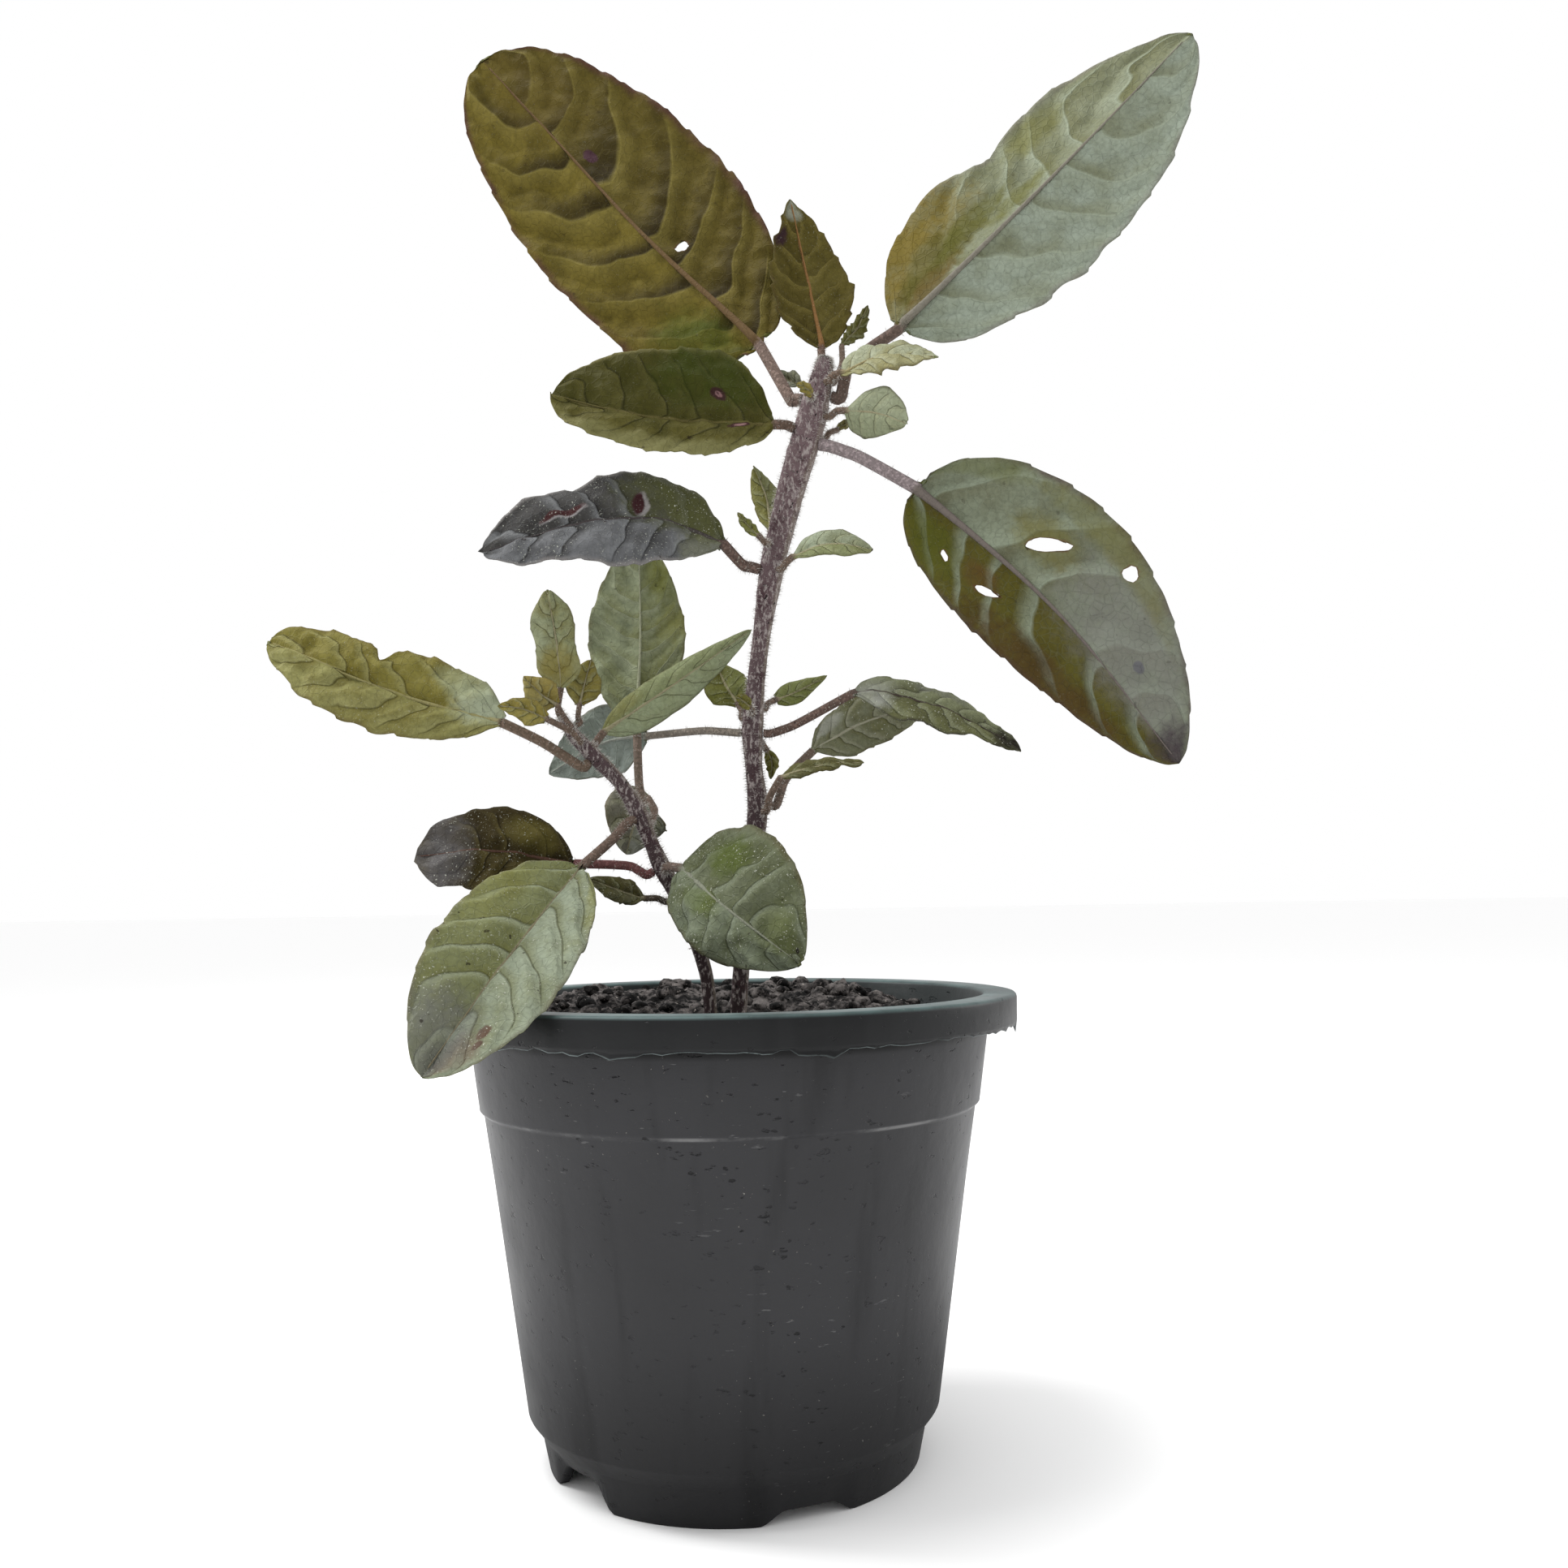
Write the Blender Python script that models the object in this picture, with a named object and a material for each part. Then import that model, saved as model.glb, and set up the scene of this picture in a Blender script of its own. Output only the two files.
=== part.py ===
"""Potted holy basil: a nursery pot, its potting mix, two stems and their leaves.

The pot stands on the ground plane with its axis on Z. +X is to the right and -Y to the front.
All plant stations are millimetres measured from the centre of the rim's top face.
"""

import math

import bmesh
import bpy
from mathutils import Vector

MM = 0.001

# Pot
POT_HEIGHT = 100.5
RIM_RADIUS = 65.0
RIM_LIP_WIDTH = 7.2
RIM_SKIRT_HEIGHT = 6.2
WALL = 1.3
BAND_HEIGHT = 23.5
STEP_DEPTH = 1.0
FOOT_RADIUS = 41.0
FOOT_WALL = 2.4
FOOT_FLARE_HEIGHT = 12.0
FLOOR_HEIGHT = 6.5
FLOOR_THICKNESS = 1.6
NOTCH_COUNT = 5
NOTCH_WIDTH = 21.0
NOTCH_HEIGHT = 5.4
NOTCH_FIRST_ANGLE = 5.0
DRAIN_HOLE_RADIUS = 4.2
POT_SEGMENTS = 60

# Potting mix
HEADSPACE = 5.2
SOIL_RELIEF = 2.4
SOIL_RINGS = 7

# Plant
PLANT_HEIGHT = 233.0
STEM_GIRTH = 1.0
LEAF_WIDTH = 1.0
LEAF_THICKNESS = 0.9
PETIOLE_GIRTH = 1.0
STEM_SIDES = 8

# Pieces that touch keep this gap.
GAP = 0.3

DESIGN_PLANT_HEIGHT = 233.0
DESIGN_RIM_RADIUS = 65.0
GROWTH = PLANT_HEIGHT / DESIGN_PLANT_HEIGHT
SPREAD = RIM_RADIUS / DESIGN_RIM_RADIUS

# (x, y, z, radius), from the root end to the growing tip
MAIN_STEM = [
    (0.5, 0.0, -34.0, 1.5),
    (1.2, 0.0, -14.0, 1.9),
    (2.6, 0.0, 5.0, 2.0),
    (5.0, 0.0, 27.0, 2.0),
    (6.9, 0.0, 42.0, 2.5),
    (6.2, 0.0, 52.0, 2.1),
    (6.0, 0.0, 61.0, 2.6),
    (7.0, -0.2, 72.0, 2.2),
    (8.6, -0.4, 84.0, 2.2),
    (11.0, -0.6, 98.5, 3.0),
    (13.6, -0.9, 109.0, 3.1),
    (16.6, -1.2, 120.0, 3.5),
    (20.0, -1.6, 131.0, 3.7),
    (22.2, -1.8, 139.0, 3.4),
    (24.0, -1.8, 146.0, 2.5),
    (24.6, -1.8, 149.0, 1.6),
]
SIDE_STEM = [
    (-2.5, -3.0, -32.0, 1.2),
    (-3.9, -3.0, -12.0, 1.5),
    (-5.4, -3.0, 5.0, 1.6),
    (-11.0, -4.0, 21.0, 1.8),
    (-15.0, -4.8, 29.0, 2.1),
    (-17.5, -5.0, 35.0, 1.7),
    (-20.2, -5.0, 41.5, 2.1),
    (-24.4, -5.0, 48.5, 1.7),
    (-30.6, -5.0, 55.0, 1.9),
    (-35.2, -5.0, 60.0, 1.6),
    (-37.4, -5.2, 63.5, 1.0),
]

# A blade's ring: the share of the half width towards each margin, and of the half thickness
# towards the upper side. Three points lie above and five below, with the midrib keel in the middle.
LEAF_SECTION = [
    (1.0, 0.0),
    (0.5, 0.87),
    (0.0, 1.0),
    (-0.5, 0.87),
    (-1.0, 0.0),
    (-0.75, -0.66),
    (-0.35, -0.94),
    (0.0, -1.0),
    (0.35, -0.94),
    (0.75, -0.66),
]


# ---------------------------------------------------------------- shared making


def clear_scene():
    for thing in list(bpy.data.objects):
        bpy.data.objects.remove(thing)


def material(name, colour, roughness):
    made = bpy.data.materials.new(name)
    made.use_nodes = True
    shader = made.node_tree.nodes["Principled BSDF"]
    shader.inputs["Base Color"].default_value = (*colour, 1.0)
    shader.inputs["Roughness"].default_value = roughness
    shader.inputs["Metallic"].default_value = 0.0
    return made


def finished(name, bm, finish, smooth=True):
    bmesh.ops.recalc_face_normals(bm, faces=bm.faces)
    for face in bm.faces:
        face.smooth = smooth
    mesh = bpy.data.meshes.new(name)
    bm.to_mesh(mesh)
    bm.free()
    mesh.materials.append(finish)
    made = bpy.data.objects.new(name, mesh)
    bpy.context.scene.collection.objects.link(made)
    return made


def curve_point(points, place):
    """A smooth curve through the points; place runs from 0 to the last point's index."""
    last = len(points) - 1
    start = min(int(place), last - 1)
    t = place - start
    p1 = points[start]
    p2 = points[start + 1]
    p0 = points[start - 1] if start else p1 + (p1 - p2)
    p3 = points[start + 2] if start + 2 <= last else p2 + (p2 - p1)
    return 0.5 * (
        2 * p1
        + (p2 - p0) * t
        + (2 * p0 - 5 * p1 + 4 * p2 - p3) * t * t
        + (3 * p1 - p0 - 3 * p2 + p3) * t * t * t
    )


def loft(rings, start_cap, end_cap):
    """One closed skin over rings of equal count, with a point closing each end."""
    bm = bmesh.new()
    made = [[bm.verts.new(p) for p in ring] for ring in rings]
    count = len(rings[0])
    for near, far in zip(made, made[1:]):
        for i in range(count):
            j = (i + 1) % count
            bm.faces.new((near[i], near[j], far[j], far[i]))
    for ring, cap in ((made[0], start_cap), (made[-1], end_cap)):
        tip = bm.verts.new(cap)
        for i in range(count):
            bm.faces.new((ring[i], ring[(i + 1) % count], tip))
    return bm


# ---------------------------------------------------------------- pot


def pot_outer_line():
    """The wall's outer corners from the ground up to the lip, as (radius, height)."""
    step_height = POT_HEIGHT - BAND_HEIGHT
    lip_radius = RIM_RADIUS - RIM_LIP_WIDTH
    band_radius = lip_radius - 1.6
    return [
        (FOOT_RADIUS, 0.0),
        (FOOT_RADIUS + 1.9, 0.7 * FOOT_FLARE_HEIGHT),
        (FOOT_RADIUS + 4.6, FOOT_FLARE_HEIGHT),
        (band_radius - STEP_DEPTH, step_height - 1.0),
        (band_radius, step_height),
        (lip_radius + WALL - 0.4, POT_HEIGHT - WALL),
    ]


def pot_inner_line():
    """The wall's inner corners from the floor up to the lip."""
    floor_top = FLOOR_HEIGHT + FLOOR_THICKNESS
    outer = pot_outer_line()
    lip_radius = RIM_RADIUS - RIM_LIP_WIDTH
    return [
        (outer[1][0] - WALL, floor_top),
        (outer[2][0] - WALL, FOOT_FLARE_HEIGHT + 0.6),
        (outer[3][0] - WALL, outer[3][1]),
        (outer[4][0] - WALL, outer[4][1] + 0.6),
        (lip_radius - 0.4, POT_HEIGHT - 0.8),
    ]


def rim_line():
    """The lip: its underside, the hanging skirt and the rounded top edge."""
    skirt_inner = RIM_RADIUS - WALL
    skirt_bottom = POT_HEIGHT - RIM_SKIRT_HEIGHT
    return [
        (skirt_inner, POT_HEIGHT - WALL),
        (skirt_inner, skirt_bottom),
        (RIM_RADIUS - 0.1, skirt_bottom),
        (RIM_RADIUS, POT_HEIGHT - 0.7),
        (RIM_RADIUS - 0.6, POT_HEIGHT),
        (RIM_RADIUS - RIM_LIP_WIDTH + 0.3, POT_HEIGHT),
    ]


def pot_underside_line():
    """The raised floor's underside and the inside of the foot ring."""
    foot_inner = FOOT_RADIUS - FOOT_WALL
    return [
        (0.0, FLOOR_HEIGHT),
        (foot_inner, FLOOR_HEIGHT),
        (foot_inner, 0.0),
    ]


def turned(line, name, finish):
    """An outline that starts and ends on the Z axis, turned once round it."""
    bm = bmesh.new()
    corners = [bm.verts.new((r * MM, 0.0, z * MM)) for r, z in line]
    edges = [bm.edges.new((a, b)) for a, b in zip(corners, corners[1:])]
    bmesh.ops.spin(
        bm,
        geom=corners + edges,
        cent=(0, 0, 0),
        axis=(0, 0, 1),
        angle=math.tau,
        steps=POT_SEGMENTS,
        use_merge=True,
    )
    bmesh.ops.remove_doubles(bm, verts=bm.verts, dist=1e-6)
    return finished(name, bm, finish, smooth=False)


def notch_cutter(angle):
    """One arched drain notch, running outwards under the floor and through the foot ring."""
    half = NOTCH_WIDTH / 2
    arch = [
        (-half, -2.0),
        (half, -2.0),
        (half, 0.0),
        (0.82 * half, 0.66 * NOTCH_HEIGHT),
        (0.6 * half, NOTCH_HEIGHT),
        (-0.6 * half, NOTCH_HEIGHT),
        (-0.82 * half, 0.66 * NOTCH_HEIGHT),
        (-half, 0.0),
    ]
    near = 0.7 * FOOT_RADIUS
    far = 1.3 * FOOT_RADIUS
    outward = Vector((math.cos(angle), math.sin(angle), 0.0))
    along = Vector((-math.sin(angle), math.cos(angle), 0.0))
    bm = bmesh.new()
    rings = []
    for reach in (near, far):
        rings.append(
            [
                bm.verts.new((outward * reach + along * a + Vector((0, 0, z))) * MM)
                for a, z in arch
            ]
        )
    count = len(arch)
    for i in range(count):
        j = (i + 1) % count
        bm.faces.new((rings[0][i], rings[0][j], rings[1][j], rings[1][i]))
    bm.faces.new(rings[0])
    bm.faces.new(rings[1])
    return cutter(f"cut_notch_{round(math.degrees(angle))}", bm)


def drain_cutter(angle):
    """One drain hole through the floor, just inside the foot ring."""
    reach = FOOT_RADIUS - FOOT_WALL - 1.7 * DRAIN_HOLE_RADIUS
    bm = bmesh.new()
    bmesh.ops.create_cone(
        bm,
        cap_ends=True,
        segments=16,
        radius1=DRAIN_HOLE_RADIUS * MM,
        radius2=DRAIN_HOLE_RADIUS * MM,
        depth=3 * FLOOR_THICKNESS * MM,
    )
    centre = Vector((math.cos(angle) * reach, math.sin(angle) * reach, FLOOR_HEIGHT + FLOOR_THICKNESS / 2))
    bmesh.ops.translate(bm, verts=bm.verts, vec=centre * MM)
    return cutter(f"cut_drain_{round(math.degrees(angle))}", bm)


def cutter(name, bm):
    bmesh.ops.recalc_face_normals(bm, faces=bm.faces)
    mesh = bpy.data.meshes.new(name)
    bm.to_mesh(mesh)
    bm.free()
    made = bpy.data.objects.new(name, mesh)
    made.hide_render = True
    made.display_type = "WIRE"
    bpy.context.scene.collection.objects.link(made)
    return made


def cut(target, tool):
    modifier = target.modifiers.new(tool.name, "BOOLEAN")
    modifier.operation = "DIFFERENCE"
    modifier.solver = "EXACT"
    modifier.object = tool


def make_pot():
    finish = material("pot_plastic", (0.035, 0.037, 0.04), 0.5)
    line = pot_underside_line() + pot_outer_line() + rim_line() + pot_inner_line()[::-1]
    line.append((0.0, FLOOR_HEIGHT + FLOOR_THICKNESS))
    pot = turned(line, "pot", finish)
    for i in range(NOTCH_COUNT):
        angle = math.radians(NOTCH_FIRST_ANGLE) + math.tau * i / NOTCH_COUNT
        cut(pot, notch_cutter(angle))
        cut(pot, drain_cutter(angle))


# ---------------------------------------------------------------- stems


def plant_point(x, y, z):
    """A plant station in world millimetres."""
    return Vector((x * GROWTH, y * GROWTH, POT_HEIGHT + z * GROWTH))


def stem_stations(stations):
    return [plant_point(x, y, z) for x, y, z, radius in stations]


def stem_at(stations, height):
    """The stem's centre, direction and radius at a height above the rim."""
    for low, high in zip(stations, stations[1:]):
        if low[2] <= height <= high[2]:
            share = (height - low[2]) / (high[2] - low[2])
            place = stations.index(low) + share
            line = stem_stations(stations)
            centre = curve_point(line, place)
            ahead = curve_point(line, min(place + 0.05, len(line) - 1))
            radius = low[3] + (high[3] - low[3]) * share
            return centre, (ahead - centre).normalized(), radius * STEM_GIRTH
    raise ValueError(height)


def stem_skin(stations, extra):
    """The stem's rounded-square skin, made larger all round by extra for its pocket."""
    centres = stem_stations(stations)
    rings = []
    tangents = []
    for i, centre in enumerate(centres):
        before = centres[max(i - 1, 0)]
        after = centres[min(i + 1, len(centres) - 1)]
        tangent = (after - before).normalized()
        side = Vector((0, 1, 0)).cross(tangent).normalized()
        front = tangent.cross(side)
        radius = stations[i][3] * STEM_GIRTH + extra
        ring = []
        for k in range(STEM_SIDES):
            turn = math.tau * (k + 0.5) / STEM_SIDES
            ring.append((centre + (side * math.cos(turn) + front * math.sin(turn)) * radius) * MM)
        rings.append(ring)
        tangents.append(tangent)
    start = (centres[0] - tangents[0] * (0.6 + extra)) * MM
    end = (centres[-1] + tangents[-1] * (0.8 + extra)) * MM
    return loft(rings, start, end)


def make_stems():
    bark = material("stem_main_bark", (0.12, 0.09, 0.09), 0.75)
    finished("stem_main", stem_skin(MAIN_STEM, 0.0), bark)
    bark = material("stem_side_bark", (0.12, 0.09, 0.09), 0.75)
    finished("stem_side", stem_skin(SIDE_STEM, 0.0), bark)


# ---------------------------------------------------------------- potting mix


def soil_height(x, y):
    """Low mounds on the mix, in millimetres above its mean level, never over the relief."""
    waves = (
        math.sin(0.21 * x + 1.3) * math.cos(0.17 * y - 0.4)
        + 0.7 * math.sin(0.37 * x - 0.29 * y + 2.1)
        + 0.5 * math.cos(0.53 * y + 0.31 * x)
    )
    return 0.5 * SOIL_RELIEF * waves / 2.2


def make_soil():
    crumb = material("potting_mix", (0.06, 0.05, 0.045), 0.95)
    mean = POT_HEIGHT - HEADSPACE - 0.5 * SOIL_RELIEF
    wall = [(r - GAP, z) for r, z in pot_inner_line() if z < mean - 2]
    wall[0] = (wall[0][0], wall[0][1] + GAP)
    low, high = pot_inner_line()[-2:]
    share = (mean - low[1]) / (high[1] - low[1])
    top_radius = low[0] + (high[0] - low[0]) * share - GAP
    bm = bmesh.new()
    rings = []
    for radius, z in wall:
        rings.append(ring_of(bm, radius, lambda x, y, z=z: z))
    for k in range(SOIL_RINGS):
        radius = top_radius * (1 - k / SOIL_RINGS)
        lift = 0.0 if k == 0 else 1.0
        rings.append(ring_of(bm, radius, lambda x, y, lift=lift: mean + lift * soil_height(x, y)))
    for near, far in zip(rings, rings[1:]):
        for i in range(POT_SEGMENTS):
            j = (i + 1) % POT_SEGMENTS
            bm.faces.new((near[i], near[j], far[j], far[i]))
    centre = bm.verts.new(Vector((0, 0, mean + soil_height(0, 0))) * MM)
    bottom = bm.verts.new(Vector((0, 0, wall[0][1])) * MM)
    for i in range(POT_SEGMENTS):
        j = (i + 1) % POT_SEGMENTS
        bm.faces.new((rings[-1][i], rings[-1][j], centre))
        bm.faces.new((rings[0][i], rings[0][j], bottom))
    soil = finished("potting_mix", bm, crumb, smooth=False)
    cut(soil, cutter("cut_pocket_main", stem_skin(MAIN_STEM, 1.4 * GAP)))
    cut(soil, cutter("cut_pocket_side", stem_skin(SIDE_STEM, 1.4 * GAP)))


def ring_of(bm, radius, height):
    ring = []
    for i in range(POT_SEGMENTS):
        turn = math.tau * i / POT_SEGMENTS
        x = radius * math.cos(turn)
        y = radius * math.sin(turn)
        ring.append(bm.verts.new(Vector((x, y, height(x, y))) * MM))
    return ring


# ---------------------------------------------------------------- leaves


def outline(t, widest, base_power, tip_power):
    """A leaf's half width at t from base to tip, as a share of its greatest half width."""
    bend = math.log(0.5) / math.log(widest)
    swell = math.sin(math.pi * min(max(t, 0.0), 1.0) ** bend)
    return max(swell, 0.0) ** (base_power if t < widest else tip_power)


def make_leaf(
    name,
    stem,
    height,
    petiole,
    blade,
    half_widths,
    set_back=(0, 0),
    colour=(0.12, 0.14, 0.07),
    stalk=0.9,
    widest=0.42,
    base_power=1.0,
    tip_power=0.7,
    rings=8,
    shows_upper=True,
    hangs=False,
):
    """One leaf, petiole and blade in one piece.

    petiole and blade are the midrib's stations. half_widths are the blade's greatest half widths to
    the left and right of someone walking from base to tip, seen from the front; set_back is how far
    behind the midrib each of those margins lies. A leaf that hangs spreads with the rim it clears.
    """
    centre, grain, girth = stem_at(stem, height)
    line = [plant_point(*p) for p in petiole]
    line += [plant_point(*p) for p in blade]
    if hangs:
        line = [Vector((p.x * SPREAD / GROWTH, p.y * SPREAD / GROWTH, p.z)) for p in line]
    away = line[0] - centre
    away = (away - grain * away.dot(grain)).normalized()
    radius = stalk * PETIOLE_GIRTH
    root = centre + away * (girth + GAP)
    line = [root, root + away * (0.8 + radius)] + line
    base = 2 + len(petiole)
    places = [i + share for i in range(base) for share in (0.0, 0.5)][:-1]
    places = [0.0, 1.0] + [p for p in places if p > 1.0]
    shares = [0.0] * len(places)
    span = len(line) - 1 - base
    for k in range(rings):
        share = 0.5 - 0.5 * math.cos(math.pi * k / rings)
        places.append(base + span * share)
        shares.append(share)
    skins = []
    across = up = None
    for place, share in zip(reversed(places), reversed(shares)):
        at = curve_point(line, place)
        step = 0.02
        ahead = curve_point(line, min(place + step, len(line) - 1))
        behind = curve_point(line, max(place - step, 0.0))
        tangent = (ahead - behind).normalized()
        on_blade = place >= base
        after = across
        if on_blade:
            across = Vector((-tangent.z, 0.0, tangent.x))
            if across.length < 0.3:
                across = Vector((0.0, 0.0, 1.0))
        else:
            # the stalk's frame follows on from the blade's, so the stalk never twists
            across = across - tangent * across.dot(tangent)
        across.normalize()
        if after and across.dot(after) < 0:
            across = -across
        wide = outline(share, widest, base_power, tip_power)
        left = across * max(half_widths[0] * LEAF_WIDTH * wide, radius)
        left.y += set_back[0] * wide
        right = across * -max(half_widths[1] * LEAF_WIDTH * wide, radius)
        right.y += set_back[1] * wide
        before = up
        up = tangent.cross(left - right).normalized()
        turned_over = (up.y < 0) != shows_upper if on_blade else up.dot(before) < 0
        if turned_over:
            up = -up
        blend = min(share / 0.25, 1.0)
        half_thick = radius + (LEAF_THICKNESS / 2 - radius) * blend
        ring = []
        for side, lift in LEAF_SECTION:
            reach = left * side if side > 0 else right * -side
            ring.append((at + reach + up * lift * half_thick) * MM)
        skins.insert(0, ring)
    start = (root - away * 0.08) * MM
    end = line[-1] * MM
    finished(name, loft(skins, start, end), material(name, colour, 0.6))


def make_crown_leaves():
    """The big pair and the young leaves at the growing tip."""
    make_leaf("leaf_crown_left", MAIN_STEM, 139, [(16, 1, 141)],
              [(9, 6, 156), (-18, 13, 186), (-41, 17, 214), (-62, 19, 239)],
              (24.5, 29), (3, 3), (0.06, 0.055, 0.018), stalk=1.3, base_power=0.7,
              tip_power=0.48, rings=12, shows_upper=False)
    make_leaf("leaf_crown_right", MAIN_STEM, 140.5, [(31, -3, 148)],
              [(42, -5, 155), (77, -15, 186), (108, -24, 215)],
              (19, 22), (12, -3), (0.24, 0.26, 0.2), stalk=1.3, base_power=0.8,
              tip_power=0.6, rings=12, shows_upper=False)
    make_leaf("leaf_crown_back", MAIN_STEM, 147, [(24, 4.5, 151)],
              [(24, 6, 155), (21, 8, 173), (17, 4, 192)],
              (7, 8.6), (-3, 3), (0.07, 0.06, 0.02), stalk=0.9, shows_upper=False, rings=8)
    make_leaf("leaf_crown_front", MAIN_STEM, 142.5, [(26, -7, 143)],
              [(28, -9, 143), (37, -14, 145), (49, -18, 143)],
              (4.3, 4.7), (5, -5), (0.2, 0.2, 0.1), stalk=0.8, rings=7)
    make_leaf("leaf_crown_bud_right", MAIN_STEM, 145, [(28.8, 2.5, 150)],
              [(29, 7, 156), (33, 11, 162), (36, 13, 169)],
              (1.9, 2.3), (0, 0), (0.11, 0.11, 0.04), stalk=0.6, rings=6)
    make_leaf("leaf_crown_bud_front", MAIN_STEM, 138, [(21, -6.5, 138)],
              [(20.9, -8, 138), (19.6, -11, 138.5), (17.5, -13, 139)],
              (1.5, 1.5), (0, 0), (0.2, 0.17, 0.06), stalk=0.6, rings=6)
    make_leaf("leaf_crown_bud_left", MAIN_STEM, 143, [(20.6, 4, 144.5)],
              [(19, 6, 146), (16, 8.5, 148), (12, 10, 151)],
              (2.3, 2.3), (-1, -1), (0.14, 0.15, 0.11), stalk=0.6, rings=6)


def make_upper_leaves():
    """The pair below the crown, with the young leaves in its axils."""
    make_leaf("leaf_upper_left", MAIN_STEM, 131, [],
              [(12, -6, 132), (-9, -15, 130), (-25, -18, 132), (-38, -17, 136)],
              (9, 17.6), (-4, 4), (0.065, 0.065, 0.015), stalk=1.1, widest=0.38,
              base_power=0.8, tip_power=0.6, rings=11)
    make_leaf("leaf_upper_right", MAIN_STEM, 129, [(33, -7, 123)],
              [(44, -11, 115), (74, -19, 84), (101, -15, 50)],
              (22.5, 14.5), (-4, 8), (0.17, 0.19, 0.13), stalk=1.4, widest=0.4,
              base_power=0.7, tip_power=0.6, rings=12, shows_upper=False)
    make_leaf("leaf_upper_axil_front", MAIN_STEM, 135, [(27, -6, 135)],
              [(29, -9, 134), (36, -15, 131), (42, -19, 127)],
              (3.9, 3.6), (-2, 4), (0.22, 0.23, 0.16), stalk=0.7, rings=7)
    make_leaf("leaf_upper_axil_back", MAIN_STEM, 131.5, [(25.5, 3, 133)],
              [(27, 4.5, 134), (29, 7, 136), (31, 9, 138)],
              (1.3, 1.3), (0, 0), (0.08, 0.07, 0.02), stalk=0.6, rings=5)


def make_middle_leaves():
    """The dark leaf at the middle node, with the young leaves in its axils."""
    make_leaf("leaf_middle_left", MAIN_STEM, 98, [(4, -4, 99.5)],
              [(0, -9, 103), (-15, -16, 107), (-32, -20, 105), (-53, -20, 99)],
              (10.4, 10.7), (-6, 5), (0.1, 0.095, 0.09), stalk=1.2, widest=0.45,
              base_power=0.8, tip_power=0.65, rings=11)
    make_leaf("leaf_middle_axil_back", MAIN_STEM, 102.5, [(11.5, 5, 106)],
              [(11, 6.5, 110), (10, 9, 119), (7, 10, 127)],
              (2.5, 2.5), (2, 2), (0.16, 0.17, 0.1), stalk=0.7, rings=6)
    make_leaf("leaf_middle_axil_left", MAIN_STEM, 103.5, [(9.5, -6, 104)],
              [(8.5, -7, 105), (6, -8.5, 107), (3.5, -10, 110)],
              (1.3, 1.3), (0, 0), (0.16, 0.17, 0.08), stalk=0.6, rings=5)
    make_leaf("leaf_middle_axil_right", MAIN_STEM, 98.5, [(14.5, -6, 99)],
              [(16, -7.5, 100), (24, -11, 102), (34, -13, 100)],
              (3.1, 2.4), (2, -2), (0.2, 0.21, 0.13), stalk=0.7, rings=7)


def make_lower_leaves():
    """The leaves at the two lower nodes of the main stem."""
    make_leaf("leaf_lower_right", MAIN_STEM, 60, [(17, -3, 62)],
              [(29, -6, 68), (38, -9, 67.5), (53, -11, 62), (67, -10, 54)],
              (4.4, 5.6), (3, -4), (0.13, 0.14, 0.08), stalk=0.9, widest=0.45, rings=9)
    make_leaf("leaf_lower_left", MAIN_STEM, 60.5, [(-7, 9, 62)],
              [(-20, 17, 62), (-32, 22, 61), (-46, 26, 54)],
              (8.8, 9.2), (0, 0), (0.2, 0.22, 0.2), stalk=0.8, rings=9, shows_upper=False)
    make_leaf("leaf_lower_axil_left", MAIN_STEM, 64, [(3.5, 3.5, 66)],
              [(2.5, 6, 68), (-0.5, 9.5, 73), (-3, 12, 79)],
              (3.8, 3.8), (0, 0), (0.11, 0.12, 0.05), stalk=0.7, rings=7)
    make_leaf("leaf_lower_axil_right", MAIN_STEM, 66.5, [(9.5, 3.5, 67.5)],
              [(11, 5, 68.5), (17, 7, 71), (24, 9, 75)],
              (1.7, 1.7), (0, 0), (0.13, 0.15, 0.08), stalk=0.6, rings=6)
    make_leaf("leaf_lower_axil_front", MAIN_STEM, 64.5, [(6, -5.5, 65)],
              [(5.5, -7.5, 65.3), (4.4, -10.2, 66), (2.5, -13, 67)],
              (1.5, 1.6), (0, 0), (0.13, 0.13, 0.05), stalk=0.6, rings=6)
    make_leaf("leaf_lower_axil_back", MAIN_STEM, 58.5, [(8, 4.5, 58.5)],
              [(9, 6, 57), (10.3, 7, 54), (10, 7.5, 50)],
              (1.6, 1.6), (0, 0), (0.1, 0.1, 0.03), stalk=0.6, rings=6)
    make_leaf("leaf_bottom_right", MAIN_STEM, 43, [(14, 2, 50)],
              [(20, 3, 56), (33, 5, 63), (49, 5, 67)],
              (6.5, 6.5), (1, -2), (0.14, 0.15, 0.1), stalk=0.9, rings=9)
    make_leaf("leaf_bottom_front", MAIN_STEM, 41.5, [(10, -5, 45)],
              [(12.5, -7, 49), (20, -10, 51), (31, -14, 51.5)],
              (1.7, 1.7), (2, -2), (0.1, 0.1, 0.05), stalk=0.7, rings=7)


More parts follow.
